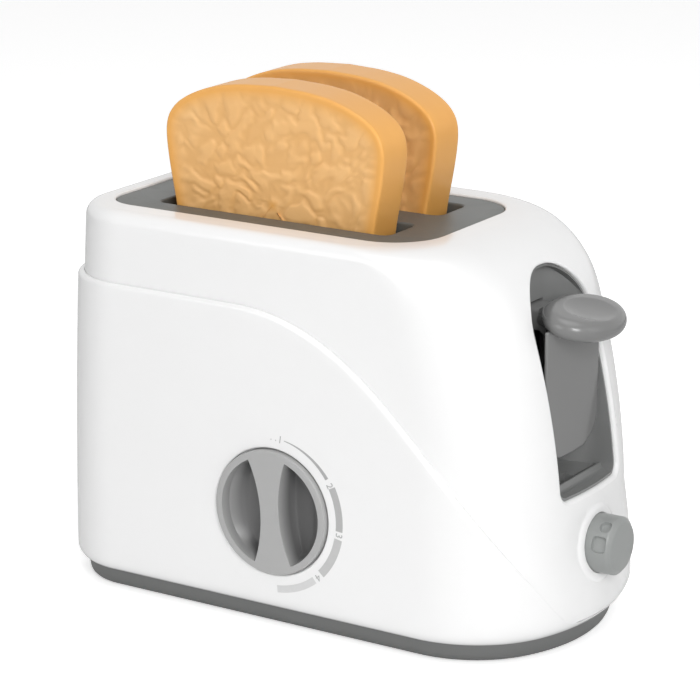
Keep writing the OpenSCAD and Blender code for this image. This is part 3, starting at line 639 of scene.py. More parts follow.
def buildWrap():
    levels = np.linspace(wrap["foot"], 112, 300)
    flush = np.array([bodyOutline(z, wrap["proud"], wrap["noseProud"]) for z in levels])
    n = flush.shape[1]
    # height at which each column of the outline meets the sweep
    above = levels[:, None] - sweepZ(flush[:, :, 0])
    crossing = np.argmax(above > 0, axis=0)
    part = -above[crossing - 1, range(n)] / (above[crossing, range(n)] - above[crossing - 1, range(n)])
    topZ = levels[crossing - 1] + part * (levels[1] - levels[0])
    topX = flush[crossing, range(n), 0]
    steep = np.sqrt(1 + sweepSlope(topX) ** 2)
    # the edge's radius fades where the shell meets the wrap at the nose
    fade = 1 - 0.88 * smoothStep((topX - 74) / 12)
    edgeR = np.minimum(wrap["edgeR"], (topZ - wrap["foot"]) * 0.4) * fade
    rollR = wrap["footR"]
    rollTop = wrap["foot"] + rollR * math.sin(math.radians(wrap["roll"]))

    def rolled(z):
        s = np.clip((rollTop - z) / rollR, 0, 1)
        return rollR * (1 - np.sqrt(1 - s * s))

    def ringAt(z, inward):
        # each column at its own height, pulled in by its own amount
        return np.array([bodyColumn(j, z[j], wrap["proud"] - inward[j]) for j in range(n)])

    # outlines at a few offsets, so that a column's point is a cheap lookup
    offsets = np.linspace(-4.2, 2.3, 14)
    table = np.array([[bodyOutline(z, o, o + (wrap["noseProud"] - wrap["proud"]))
                       for z in levels[::3]] for o in offsets])
    tableZ = levels[::3]

    def bodyColumn(j, z, side):
        u = np.clip((side - offsets[0]) / (offsets[1] - offsets[0]), 0, len(offsets) - 1.001)
        v = np.clip((z - tableZ[0]) / (tableZ[1] - tableZ[0]), 0, len(tableZ) - 1.001)
        i, k = int(u), int(v)
        fu, fv = u - i, v - k
        p = (table[i, k, j] * (1 - fu) * (1 - fv) + table[i + 1, k, j] * fu * (1 - fv)
             + table[i, k + 1, j] * (1 - fu) * fv + table[i + 1, k + 1, j] * fu * fv)
        return (p[0], p[1], z)

    rings = []
    edgeStart = topZ - edgeR * steep
    for i in range(wrap["rows"] + 1):
        u = i / wrap["rows"]
        z = wrap["foot"] + (edgeStart - wrap["foot"]) * u ** 1.25
        rings.append(ringAt(z, rolled(z)))
    for a in np.radians([18, 36, 54, 72, 90]):
        z = edgeStart + edgeR * steep * math.sin(a)
        rings.append(ringAt(z, rolled(z) + edgeR * (1 - math.cos(a))))
    inner = np.full(n, wrap["proud"] - wrap["gap"])
    rings.append(ringAt(topZ, np.maximum(inner, rolled(topZ) + edgeR)))
    for u in (0.9, 0.6, 0.3, 0):
        low = body["foot"] + 0.2
        rings.append(ringAt(np.minimum(topZ - 0.1, low + (topZ - low) * u), inner))
    ledge = np.full(n, wrap["proud"] + wrap["ledge"])
    rings.append(ringAt(np.full(n, body["foot"]), ledge))
    rings.append(ringAt(np.full(n, wrap["foot"]), ledge))
    faces = ringFaces(len(rings), n)
    last = (len(rings) - 1) * n
    faces += [(last + j, last + (j + 1) % n, (j + 1) % n, j) for j in range(n)]
    piece = faceOutwards(newObject("bodyWrap", [p for ring in rings for p in ring], faces))
    face = -body["halfWidth"] - wrap["proud"]
    bore = flaredCut("wrapBore", lambda g: dialOutline(dial["rimR"] + 0.45 + g), 0.5,
                     lambda a, b: -face, lambda a, b, d: (a, -d, b), 4 - face, 30, 4)
    combine(piece, [bore])
    return shade(piece, 40)


bodyWrap = finishPiece(buildWrap(), "housing", materials["shellWhite"], "shell_white", "body_wrap")
print("body wrap:", len(bodyWrap.data.polygons), "faces")


# base tray and rubber feet

base = {
    "bottom": 0.8,
    "top": 7.2,
    "inset": 1.2,
    "taper": 1.2,
    "edgeR": 0.9,
    "hollow": 5.35,
    "floor": 3.0,
    "tongue": 3.55,
    "pad": [(3.5, 0), (4.9, 0), (5.6, 0.15), (6, 0.5), (6, 1.8), (3.5, 1.8)],
    "padX": (-71.5, 56),
    "padY": 30,
    "screwHoleR": 3.3,
    "screws": [(-82.57, -35.84), (-82.57, 35.84), (44, -39.1), (44, 39.1)],
}


def buildBase():
    rings = []
    for t in (0.0, 0.04, 0.12, 0.25, 0.4, 0.6, 0.8, 1.0):
        z = base["bottom"] + (base["top"] - base["bottom"]) * t
        curl = base["edgeR"] * (1 - t / 0.25) ** 2 if t < 0.25 else 0
        rings.append(atHeight(bodyOutline(z, -base["inset"] - base["taper"] * (1 - t) - curl), z))
    for inset, z in ((base["tongue"], base["top"]), (base["tongue"], body["foot"]),
                     (base["hollow"], body["foot"]), (base["hollow"], base["floor"])):
        rings.append(atHeight(bodyOutline(z, -inset), z))
    tray = loft("baseTray", rings)
    # sunk holes that the screws are driven through
    r = base["screwHoleR"]
    sink = [(0.1, -1), (r, -1), (r, 1.75), (1.7, 1.75), (1.7, 12), (0.1, 12)]
    combine(tray, [revolve("sink", sink, (x, y, 0), "z", 48) for x, y in base["screws"]])
    return shade(tray, 40)


baseTray = finishPiece(buildBase(), "housing", materials["baseGrey"], "base_grey", "base_tray")


def buildFeet():
    pads = [revolve("pad", base["pad"], (x, y, 0), "z", 48)
            for x in base["padX"] for y in (-base["padY"], base["padY"])]
    return shade(joinPieces("rubberFeet", pads), 40)


rubberFeet = finishPiece(buildFeet(), "housing", materials["footRubber"], "foot_rubber", "rubber_feet")
print("base and feet")


# slot plate

def slotOutline(side, grow):
    y = side * plate["slotY"]
    return roundedOutline(plate["middle"] - plate["slotHalfLength"],
                          plate["middle"] + plate["slotHalfLength"],
                          y - plate["slotHalfWidth"], y + plate["slotHalfWidth"],
                          [plate["slotR"]] * 4, grow, 6)


def buildPlate():
    rings = [atHeight(plateOutline(2), plate["under"]), atHeight(plateOutline(2), plate["under"] + 2.3),
             atHeight(plateOutline(0), plate["under"] + 2.35)]
    r = plate["edgeR"]
    for a in np.radians(np.linspace(0, 90, 5)):
        rings.append(atHeight(plateOutline(-r * (1 - math.cos(a))),
                              plate["top"] - r + r * math.sin(a)))
    piece = loft("slotPlate", rings)
    cuts = []
    for side in (-1, 1):
        cuts.append(flaredCut("slotCut", lambda g: slotOutline(side, g), plate["slotLip"],
                              lambda a, b: plate["top"], lambda a, b, d: (a, b, d),
                              plate["top"] + 4, plate["under"] - 3, 5))
    return shade(combine(piece, cuts))


slotPlate = finishPiece(buildPlate(), "housing", materials["plateGrey"], "plate_grey", "slot_plate")
print("slot plate")


# recess behind the lever opening

lever = {
    "x": 83.6,
    "z": 108.6,
    "halfLength": 12.6,
    "halfWidth": 17.4,
    "thick": 6.8,
    "droop": 12,
    "dimpleAlong": 8.6,
    "dimpleAcross": 10.2,
    "dimpleX": 1.4,
    "dimpleDepth": 1.3,
    "crown": 0.6,
    "skirtFront": 80.2,
    "skirtT": 1.5,
    "skirtHalf": 17.8,
    "skirtFoot": 63.2,
    "skirtCorner": 10.5,
    "skirtSag": 0.9,       # how much lower the foot of the skirt is in its middle
    "catchZ": (80, 83),
    "catchOut": 3.2,
    "neckHalf": 6,
    "neckZ": (103.5, 111),
    "neckX": 58.4,
}
recess = {
    "backFoot": 67.4,
    "backTop": 64.0,
    "cornerR": 14,
    "half": 18.6,
    "liner": 1.5,
    "behindFace": 1.5,     # how far the liner's front edge lies behind the nose's face
    # side view of the floor, from the face to the back wall; the ridge at x 81 stands just in
    # front of the slot that the skirt drops through
    "floorLine": [(105, 51.5), (88, 51.8), (84.5, 52.5), (82.4, 53.1), (81.2, 54.2), (80.6, 54.2),
                  (80.5, 53.0), (77.9, 53.2), (72, 54.0), (70.4, 54.5), (69, 55.6), (68.2, 57.4),
                  (60, 57.4)],
    "cutFoot": 50.4,
    "play": 0.2,
}


def recessOutline(back, grow, half):
    # plan of the recess, open towards the nose
    r = recess["cornerR"]
    return np.vstack([[(100, -half - grow)],
                      arcPoints(back + r, r - half, r + grow, 270, 180, 12),
                      arcPoints(back + r, half - r, r + grow, 180, 90, 12), [(100, half + grow)]])


def recessForm(name, grow, low, high, half):
    slope = (recess["backTop"] - recess["backFoot"]) / (opening["top"] - opening["foot"])

    def ring(z):
        back = recess["backFoot"] + slope * (z - opening["foot"])
        return atHeight(recessOutline(back, grow, half), z)

    return loft(name, [ring(z) for z in np.linspace(low, high, 12)])


def buildRecess():
    def tunnel(grow, ends=(40, 115)):
        return loft("tunnel", [[(x, a, b) for a, b in leverOutline(grow)] for x in ends])

    def within(depth):
        return loft("keep", [atHeight(bodyOutline(z, -depth), z) for z in np.linspace(40, 130, 46)])

    foot, top = opening["foot"], opening["top"]
    liner = recessForm("leverSurround", recess["liner"], foot - 2.4, top + 4, opening["half"])
    combine(liner, [within(body["wall"] + 0.15), tunnel(recess["liner"], (50, 110))], "INTERSECT")
    sleeve = recessForm("sleeve", recess["liner"], foot - 2.4, top + 4, opening["half"])
    combine(sleeve, [within(recess["behindFace"]), tunnel(-0.04, (50, 110))], "INTERSECT")
    combine(liner, [sleeve], "UNION")
    inwards = opening["half"] - recess["half"]
    hollow = recessForm("hollow", 0, recess["cutFoot"], top + 8, recess["half"])
    combine(hollow, [tunnel(-inwards)], "INTERSECT")
    wedge = [(60, 46), (105, 46)] + recess["floorLine"]
    combine(hollow, [loft("floor", [[(x, y, z) for x, z in wedge] for y in (-25, 25)])])
    # slots for the neck, the skirt and the catch rib
    play, side = recess["play"], lever["skirtHalf"] + 0.3
    front, back = lever["skirtFront"] + play, lever["skirtFront"] - lever["skirtT"] - play
    slots = [block("neckSlot", (50, 72), (-6.4, 6.4), (61.1, 111.4)),
             block("skirtSlot", (back, front), (-side, side), (40, 58)),
             block("ribSlot", (back - lever["catchOut"] - 0.1, back + 0.5), (-4.2, 4.2), (40, 58))]
    combine(liner, [hollow] + slots)
    return shade(liner, 30)


leverSurround = finishPiece(buildRecess(), "housing", materials["recessGrey"], "lever_grey",
                            "lever_surround")
print("recess")


# lever: paddle with a thumb dimple, skirt and neck

def buildPaddle():
    r = lever["thick"] / 2
    tipX, tipY = lever["halfLength"] - r, lever["halfWidth"] - r
    steps, rings = 120, []
    angles = np.radians(np.linspace(0, 360, steps, endpoint=False))

    def ring(scaleX, scaleY, z):
        return [(scaleX * math.cos(b), scaleY * math.sin(b), z) for b in angles]

    # from the middle of the underside, round the rim, to the middle of the top
    for s in np.linspace(0.06, 0.94, 8):
        rings.append(ring(tipX * s, tipY * s, -r))
    for a in np.radians(np.linspace(-90, 90, 19)):
        rings.append(ring(tipX + r * math.cos(a), tipY + r * math.cos(a), r * math.sin(a)))
    for s in np.linspace(0.98, 0.02, 34):
        rings.append(ring(tipX * s, tipY * s, r))
    piece = loft("paddle", rings)
    for v in piece.data.vertices:
        x, y, z = v.co.x / mm, v.co.y / mm, v.co.z / mm
        if z > 0:
            q = (x / lever["halfLength"]) ** 2 + (y / lever["halfWidth"]) ** 2
            z += lever["crown"] * max(0, 1 - q) * (z / r)
            d = math.hypot((x - lever["dimpleX"]) / lever["dimpleAlong"], y / lever["dimpleAcross"])
            if d < 1 and z > r * 0.9:
                z -= lever["dimpleDepth"] * (1 - d ** 2.6)
        v.co.z = z * mm
    piece.data.transform(Matrix.Translation((lever["x"] * mm, 0, lever["z"] * mm))
                         @ Matrix.Rotation(math.radians(lever["droop"]), 4, "Y"))
    return piece


def buildHolder():
    # the body that carries the pad: from just behind the pad's rim to the neck's section
    angles = np.radians(np.linspace(0, 360, 96, endpoint=False))
    droop = math.radians(lever["droop"])
    c, q = np.cos(angles), np.sin(angles)

    def padRing(shrink, z):
        x = (lever["halfLength"] - 0.3 - shrink) * c - 0.7
        y = (lever["halfWidth"] - 0.5 - shrink) * q
        return np.column_stack([lever["x"] + x * math.cos(droop) + z * math.sin(droop), y,
                                lever["z"] - x * math.sin(droop) + z * math.cos(droop)])

    neckLow, neckHigh = lever["neckZ"]
    neck = np.column_stack([np.full(len(c), 69.5), lever["neckHalf"] * q,
                            (neckLow + neckHigh) / 2 - (neckHigh - neckLow) / 2 * c])
    rings = [padRing(shrink, z) for shrink, z in ((8, 1.0), (2.2, 1.6), (0.7, 1.5), (0.15, 1.15),
                                                  (0, 0.6))]
    start = padRing(0, 0.2)
    for t in np.linspace(0, 1, 15):
        across, down = t ** 1.6, t ** 0.75
        mixed = start * (1 - across) + neck * across
        mixed[:, 2] = start[:, 2] * (1 - down) + neck[:, 2] * down
        rings.append(mixed)
    return loft("holder", rings)


def buildLever():
    r, half, front = lever["skirtCorner"], lever["skirtHalf"], lever["skirtFront"]
    foot, rear = lever["skirtFoot"], front - lever["skirtT"]
    outline = roundedOutline(-half, half, foot, lever["z"] - 1.5, [r, r, 0.4, 0.4])
    a, b = outline[:, 0], outline[:, 1]
    sag = lever["skirtSag"] * np.clip(1 - (a / (half - 2)) ** 2, 0, 1)
    outline[:, 1] = b - sag * (b < foot + 0.5)
    rings = []
    # from the rear face round the edge to the front face
    for x, inset in ((rear, 0.5), (rear + 0.15, 0.15), (rear + 0.5, 0), (front - 0.9, 0),
                     (front - 0.45, 0.12), (front - 0.12, 0.45), (front, 0.9), (front, 1.6),
                     (front, 3.5)):
        rings.append([(x, y * (1 - inset / half), z + inset * max(0, foot + r - z) / r)
                      for y, z in outline])
    skirt = loft("skirt", rings)
    neck = loft("neck", [[(x, y, z) for y, z in roundedOutline(
        -lever["neckHalf"], lever["neckHalf"], *lever["neckZ"], [1.2] * 4, 0, 3)]
        for x in (lever["neckX"], 70)])
    web = loft("web", [[(x, y, z) for y, z in roundedOutline(-h, h, low, 107, [1.5] * 4, 0, 3)]
                       for x, h, low in ((69.5, 5.9, 103.7), (74, 8, 101.5), (79, 12, 98))])
    rib = block("catchRib", (front - lever["skirtT"] - lever["catchOut"], front - 1), (-4, 4),
                lever["catchZ"])
    roundEdges(rib, 0.3, 2)
    piece = joinPieces("thumbLever", [buildPaddle(), buildHolder(), skirt, neck, web, rib])
    return shade(piece, 40)


thumbLever = finishPiece(buildLever(), "lever_unit", materials["leverGrey"], "lever_grey", "lever")
print("lever")


# dial with two finger scoops

def scoopCut(side):
    # a spoon-shaped hollow between the rim and the grip: steep by the rim, deepest near the grip
    r, waist, hollowR = dial["scoopR"], dial["waist"] / 2, dial["hollowR"]
    acrossSteps, alongSteps = 34, 60
    middle = waist + hollowR
    meet = (middle ** 2 + r ** 2 - hollowR ** 2) / (2 * middle)
    tip = math.sqrt(r * r - meet * meet)
    rows, lids = [], []
    for i in range(alongSteps + 1):
        v = tip * math.sin(math.pi * (i / alongSteps - 0.5)) * 0.995
        rim = math.sqrt(r * r - v * v)
        grip = waist + hollowR - math.sqrt(hollowR ** 2 - v * v)
        width = rim - grip
        bowl = min(1, (width / (r - waist) * 2.6)) ** 0.55
        row, lid = [], []
        for j in range(acrossSteps + 1):
            s = j / acrossSteps
            if s < 0.07:
                f = 0.4 * math.sin(s / 0.07 * math.pi / 2)
            elif s < 0.4:
                f = 0.4 + 0.5 * (s - 0.07) / 0.33
            elif s < 0.84:
                f = 0.9 + 0.1 * (1 - ((0.84 - s) / 0.44) ** 1.5)
            else:
                f = max(0, 1 - ((s - 0.84) / 0.16) ** 3.2)
            across = side * (rim - width * s)
            depth = dial["dish"] + 0.02 + (dial["depth"] - dial["dish"]) * f * bowl
            row.append((across, v, depth))
            lid.append((across, v, -2))
        rows.append(row)
        lids.append(lid)
    n = acrossSteps + 1
    rings = [row + lid[::-1] for row, lid in zip(rows, lids)]
    turn = math.radians(dial["turn"])
    placed = [[(dial["x"] + a * math.cos(turn) - b * math.sin(turn), dial["front"] + d,
                dial["z"] + a * math.sin(turn) + b * math.cos(turn)) for a, b, d in ring]
              for ring in rings]
    return loft("scoop", placed)


def paintScoopShade(material):
    # painted shade: the colour in the scoops is darkened towards a near-black, the more so the deeper it
    # lies, standing in for the shadow that falls in them; the plastic there is the same as on the bar and
    # rim
    tree = material.node_tree
    shader = tree.nodes["Principled BSDF"]
    place = addNode(tree, "ShaderNodeTexCoord").outputs["Object"]
    fromAxis = addNode(tree, "ShaderNodeVectorMath",
                       [(0, place), (1, (dial["x"] * mm, 0, dial["z"] * mm))], operation="SUBTRACT")
    flat = addNode(tree, "ShaderNodeVectorMath", [(0, fromAxis.outputs[0]), (1, (1, 0, 1))],
                   operation="MULTIPLY")
    reach = addNode(tree, "ShaderNodeVectorMath", [(0, flat.outputs[0])], operation="LENGTH")
    inside = addNode(tree, "ShaderNodeMath",
                     [(0, reach.outputs["Value"]), (1, (dial["scoopR"] + 0.25) * mm)],
                     operation="LESS_THAN")
    apart = addNode(tree, "ShaderNodeSeparateXYZ", [("Vector", place)])
    depth = addNode(tree, "ShaderNodeMapRange",
                    [("Value", apart.outputs["Y"]), ("From Min", (dial["front"] + 0.2) * mm),
                     ("From Max", (dial["front"] + 5.5) * mm), ("To Max", dial["paintedScoopShade"])])
    factor = addNode(tree, "ShaderNodeMath", [(0, depth.outputs["Result"]), (1, inside.outputs[0])],
                     operation="MULTIPLY")
    shaded = mixColours(tree, factor.outputs[0], shader.inputs["Base Color"].links[0].from_socket,
                        dial["paintedShadeColour"])
    tree.links.new(shaded, shader.inputs["Base Color"])


def buildDial():
    front = dial["front"]
    rim, r, dish = dial["rimR"], dial["scoopR"], dial["dish"]
    bevel = dial["bevel"]
    profile = [(0.2, dish), (r * 0.5, dish), (r + 0.5, dish), (rim - bevel, 0),
               (rim - bevel * 0.5, bevel * 0.14), (rim - bevel * 0.14, bevel * 0.5), (rim, bevel),
               (rim, dial["back"] - front),
               (dial["drumR"], dial["back"] - front), (dial["drumR"], dial["drumBack"] - front),
               (6, dial["drumBack"] - front), (6, 15.0), (4, 15.0), (4, 20.8), (0.2, 20.8)]
    knob = revolve("dialKnob", profile, (dial["x"], front, dial["z"]), "y", 160)
    flat = block("flat", (dial["x"] - 5, dial["x"] + 5), (front + 17.4, front + 25),
                 (dial["z"] - 6, dial["z"] - 3))
    combine(knob, [scoopCut(-1), scoopCut(1), flat])
    return shade(knob, 28)


# paints shade into the dial's finger scoops, darker the deeper they go
paintScoopShade(materials["dialGrey"])
dialKnob = finishPiece(buildDial(), "dial", materials["dialGrey"], "dial_grey", "dial_knob")
print("dial")


# push button with finger notches

button = {
    "z": 33.6,
    "r": 9.8,
    "faceR": 8.9,
    "face": 99.5,
    "seat": 87.2,
    "collarR": 11.5,
    "collar": 85.8,
    # ends along X and Y of the wings and prongs
    "wings": [((83.6, 86.4), (8.3, 10.8)), ((83.6, 84.7), (8.3, 20.9)), ((71.8, 84.7), (18.9, 20.9))],
    "prongZ": (33.0, 37.0),
    # finger pockets: start and end along X, middle angle from the top, half width, depth
    "pockets": [(94.2, 98.0, -36, 2.1, 1.2), (92.9, 98.0, -74, 2.8, 1.2)],
}


def pocketCut(start, end, angle, spread, depth):
    # rounded pad sunk into the button's round side
    rings = []
    for sink, shrink in ((-1.5, 0), (0, 0), (0.5, 0.1), (0.85, 0.35), (1, 0.8)):
        r = button["r"] - depth * sink
        outline = roundedOutline(start, end, -spread, spread, [1.6] * 4, -shrink, 1)
        turns = [math.radians(angle) + a / button["r"] for _, a in outline]
        rings.append([(x, r * math.sin(turn), button["z"] + r * math.cos(turn))
                      for (x, _), turn in zip(outline, turns)])
    return loft("pocket", rings)


def buildButton():
    profile = [(0.2, button["face"]), (button["faceR"] - 0.9, button["face"]),
               (button["faceR"] - 0.7, button["face"] - 0.08), (button["r"] - 0.35, button["face"] - 1.1),
               (button["r"] - 0.1, button["face"] - 1.4), (button["r"], button["face"] - 1.9),
               (button["r"], button["seat"]),
               (button["collarR"], button["seat"]),
               (button["collarR"], button["collar"]), (8.05, button["collar"]), (8.05, 97.7), (0.2, 97.7)]
    knob = revolve("pushButton", profile, (0, 0, button["z"]), "x", 120)
    combine(knob, [pocketCut(*pocket) for pocket in button["pockets"]])
    # wings and prongs that reach back to the latch
    parts = [knob]
    for side in (-1, 1):
        for x, y in button["wings"]:
            ends = sorted(side * c for c in y)
            parts.append(roundEdges(block("prong", x, ends, button["prongZ"]), 0.25, 2))
    return shade(joinPieces("pushButton", parts), 30)


pushButton = finishPiece(buildButton(), "button", materials["buttonGrey"], "button_grey", "pop_button")
print("button")


# slices of bread

toast = {
    "middle": -20.7,
    "foot": 97.4,
    "halfThick": 7.75,
    # half outline, as height above the foot and half width
    "profile": [(0, 35.6), (8, 36.1), (20, 37.4), (30, 38.4), (37.5, 39.5), (43.4, 40.7), (50.4, 42.0),
                (57, 42.9), (61, 43.1), (64.3, 42.8), (67, 41.8), (70.6, 38.8), (73.8, 33.7),
                (76.4, 27.4), (78.2, 21.0), (79.4, 12.5), (80, 0)],
    "edgeR": 1.0,
    "relief": 0.36,
    "reliefScale": 150.0,
    "warp": 1.5,
    "crustTones": [(0.78, 0.37, 0.086), (0.85, 0.44, 0.12)],
    "crumbTones": [(0.78, 0.42, 0.145), (0.88, 0.54, 0.235)],
    "valleyTone": (0.62, 0.31, 0.085),
}


def toastOutline(steps=150):
    # the half outline, resampled by length, smoothed and mirrored
    half = np.array([(w, h) for h, w in toast["profile"]], float)
    length = np.r_[0, np.cumsum(np.hypot(*np.diff(half, axis=0).T))]
    fine = np.linspace(0, length[-1], steps)
    smooth = np.column_stack([np.interp(fine, length, half[:, 0]), np.interp(fine, length, half[:, 1])])
    for _ in range(14):
        smooth[1:-1] = (smooth[:-2] + 2 * smooth[1:-1] + smooth[2:]) / 4
    left = smooth[::-1] * (-1, 1)
    bottom = linePoints((left[-1][0], 0), (smooth[0][0], 0), 40)
    return np.vstack([smooth, left[1:], bottom])


def buildToast(name, node):
    outline = toastOutline()
    low, high = sizesOf(node)
    yMid = (low[1] + high[1]) / 2
    n = len(outline)
    centre = np.array([0, 40.0])
    closer = np.roll(outline, -1, 0) - np.roll(outline, 1, 0)
    normal = np.column_stack([closer[:, 1], -closer[:, 0]])
    normal /= np.linalg.norm(normal, axis=1)[:, None]
    rings, masks = [], []
    half, r = toast["halfThick"], toast["edgeR"]
    insets = [r + 0.8, r + 1.8, r + 3.2, r + 5]
    innerShape = outline - normal * insets[-1]

    def ring(shape, y, mask):
        rings.append([(toast["middle"] + x, y, toast["foot"] + z) for x, z in shape])
        masks.extend([mask] * n)

    scales = np.r_[0.002, np.linspace(0.03, 1, 52)]
    for s in scales:
        ring(centre + (innerShape - centre) * s, yMid - half, min(1.0, s * 14))
    for inset, mask in zip(insets[2::-1], (0.75, 0.35, 0.0)):
        ring(outline - normal * inset, yMid - half, mask)
    for a in np.radians(np.linspace(0, 90, 6)):
        ring(outline - normal * r * (1 - math.sin(a)), yMid - half + r * (1 - math.cos(a)), 0.0)
    for y in np.linspace(-half + r, half - r, 9)[1:]:
        ring(outline, yMid + y, 0.0)
    for a in np.radians(np.linspace(90, 0, 6))[1:]:
        ring(outline - normal * r * (1 - math.sin(a)), yMid + half - r * (1 - math.cos(a)), 0.0)
    for inset, mask in zip(insets[:3], (0.0, 0.35, 0.75)):
        ring(outline - normal * inset, yMid + half, mask)
    for s in scales[::-1]:
        ring(centre + (innerShape - centre) * s, yMid + half, min(1.0, s * 14))
    return withValues(loft(name, rings, merge=False), "crumb", masks)


def crumbTree():
    # wrinkled crumb: warped ridges pushed out of the faces where the crumb attribute is high
    tree = bpy.data.node_groups.new("crumbRelief", "GeometryNodeTree")
    face = tree.interface
    face.new_socket("Geometry", in_out="INPUT", socket_type="NodeSocketGeometry")
    for label, value in (("Relief Height", 0.0006), ("Relief Scale", 120.0), ("Warp", 1.0),
                         ("Seed", 3.0)):
        face.new_socket(label, in_out="INPUT", socket_type="NodeSocketFloat").default_value = value
    face.new_socket("Crust", in_out="INPUT", socket_type="NodeSocketMaterial")
    face.new_socket("Geometry", in_out="OUTPUT", socket_type="NodeSocketGeometry")
    given = tree.nodes.new("NodeGroupInput")
    result = tree.nodes.new("NodeGroupOutput")
    place = tree.nodes.new("GeometryNodeInputPosition").outputs[0]
    warpNoise = addNode(tree, "ShaderNodeTexNoise", [("Vector", place), ("Scale", 70.0), ("Detail", 2.0),
                                                     ("W", given.outputs["Seed"])],
                        noise_dimensions="4D")
    shifted = addNode(tree, "ShaderNodeVectorMath", [(0, warpNoise.outputs["Color"]),
                                                     (1, (0.5, 0.5, 0.5))], operation="SUBTRACT")
    size = addNode(tree, "ShaderNodeMath", [(0, given.outputs["Warp"]), (1, 0.012)], operation="MULTIPLY")
    push = addNode(tree, "ShaderNodeVectorMath",
                   [(0, shifted.outputs[0]), ("Scale", size.outputs[0])], operation="SCALE")
    warped = addNode(tree, "ShaderNodeVectorMath", [(0, place), (1, push.outputs[0])], operation="ADD")
    ridges = addNode(tree, "ShaderNodeTexNoise",
                     [("Vector", warped.outputs[0]), ("Scale", given.outputs["Relief Scale"]),
                      ("Detail", 1.2), ("Roughness", 0.45), ("W", given.outputs["Seed"])],
                     noise_dimensions="4D")
    centred = addNode(tree, "ShaderNodeMath", [(0, ridges.outputs["Fac"]), (1, 0.5)], operation="SUBTRACT")
    folded = addNode(tree, "ShaderNodeMath", [(0, centred.outputs[0])], operation="ABSOLUTE")
    ridge = addNode(tree, "ShaderNodeMapRange", [("Value", folded.outputs[0]), ("From Min", 0.0),
                                                 ("From Max", 0.16), ("To Min", -1.0), ("To Max", 0.25)],
                    interpolation_type="SMOOTHSTEP")
    mask = addNode(tree, "GeometryNodeInputNamedAttribute", [("Name", "crumb")], data_type="FLOAT")
    height = addNode(tree, "ShaderNodeMath", [(0, ridge.outputs["Result"]),
                                              (1, mask.outputs["Attribute"])], operation="MULTIPLY")
    scaled = addNode(tree, "ShaderNodeMath", [(0, height.outputs[0]),
                                              (1, given.outputs["Relief Height"])], operation="MULTIPLY")
    outwards = tree.nodes.new("GeometryNodeInputNormal").outputs[0]
    offset = addNode(tree, "ShaderNodeVectorMath", [(0, outwards), ("Scale", scaled.outputs[0])],
                     operation="SCALE")
    move = addNode(tree, "GeometryNodeSetPosition", [("Geometry", given.outputs["Geometry"]),
                                                     ("Offset", offset.outputs[0])])
    store = addNode(tree, "GeometryNodeStoreNamedAttribute",
                    [("Name", "ridge"), ("Geometry", move.outputs[0]), ("Value", height.outputs[0])],
                    data_type="FLOAT", domain="POINT")
    realize = addNode(tree, "GeometryNodeRealizeInstances", [("Geometry", store.outputs[0])])
    finish = addNode(tree, "GeometryNodeSetMaterial", [("Geometry", realize.outputs[0]),
                                                       ("Material", given.outputs["Crust"])])
    tree.links.new(finish.outputs[0], result.inputs[0])
    return tree


def growWith(piece, tree, values):
    # runs a Geometry Nodes tree on the piece and keeps the result as a plain mesh
    modifier = piece.modifiers.new(tree.name, "NODES")
    modifier.node_group = tree
    for item in tree.interface.items_tree:
        if item.in_out == "INPUT" and item.name in values:
            modifier[item.identifier] = values[item.name]
    return settle(piece)


def toastMaterial():
    material, tree, shader = newMaterial("toastTan")
    shader.inputs["Specular IOR Level"].default_value = 0.35
    grain = addNode(tree, "ShaderNodeGroup", node_tree=grainGroup)
    grain.inputs["Patch Scale"].default_value = 34.0
    crumb = addNode(tree, "ShaderNodeAttribute", attribute_name="crumb")
    ridge = addNode(tree, "ShaderNodeAttribute", attribute_name="ridge")
    crust = mixColours(tree, grain.outputs["Patches"], *toast["crustTones"])
    inside = mixColours(tree, grain.outputs["Patches"], *toast["crumbTones"])
    blended = mixColours(tree, crumb.outputs["Fac"], crust, inside)
    valley = addNode(tree, "ShaderNodeMapRange", [("Value", ridge.outputs["Fac"]), ("From Min", -1.0),
                                                  ("From Max", -0.1), ("To Min", 0.3), ("To Max", 0.0)])
    darker = mixColours(tree, valley.outputs["Result"], blended, toast["valleyTone"])
    tree.links.new(darker, shader.inputs["Base Color"])
    rough = addNode(tree, "ShaderNodeMapRange", [("Value", grain.outputs["Patches"]),
                                                 ("To Min", 0.3), ("To Max", 0.42)])
    tree.links.new(rough.outputs["Result"], shader.inputs["Roughness"])
    bump = addNode(tree, "ShaderNodeBump", [("Height", grain.outputs["Height"]), ("Strength", 0.12),
                                            ("Distance", 0.0002)])
    tree.links.new(bump.outputs["Normal"], shader.inputs["Normal"])
    return material


materials["toastTan"] = toastMaterial()
crumbs = crumbTree()
for name, node, bodyName, seed in (("toastFront", "toast_front", "front_slice", 3.0),
                                   ("toastRear", "toast_rear", "rear_slice", 11.0)):
    sliceMesh = growWith(buildToast(name, node), crumbs, {
        "Relief Height": toast["relief"] * mm, "Relief Scale": toast["reliefScale"],
        "Warp": toast["warp"], "Seed": seed, "Crust": materials["toastTan"]})
    finishPiece(shade(sliceMesh, 50), bodyName, materials["toastTan"], "toast_tan", node)
print("slices of bread")


# dial scale printed on the wrap

scale = {
    "x": -4.4,
    "z": 41.6,
    "thick": 0.07,
    "digitSize": 3.6,
    "dots": [(0.6, 24.8), (4.8, 24.8)],
    "line": (12, 56, 25.6, 26.9),
    # start and end angle from the top, inner and outer radius, tone of the ink
    "bands": [(63, 95, 25.4, 28.0, 0.42), (101, 133, 25.3, 28.2, 0.5), (141, 175, 25.7, 28.2, 0.62)],
    "digits": [("1", 8.6, 25.4), ("2", 61, 26.2), ("3", 98, 26.7), ("4", 137, 26.9)],
}
scaleFace = -body["halfWidth"] - wrap["proud"]


def scalePoint(angle, r, y):
    a = math.radians(angle)
    return (scale["x"] + r * math.sin(a), y, scale["z"] + r * math.cos(a))


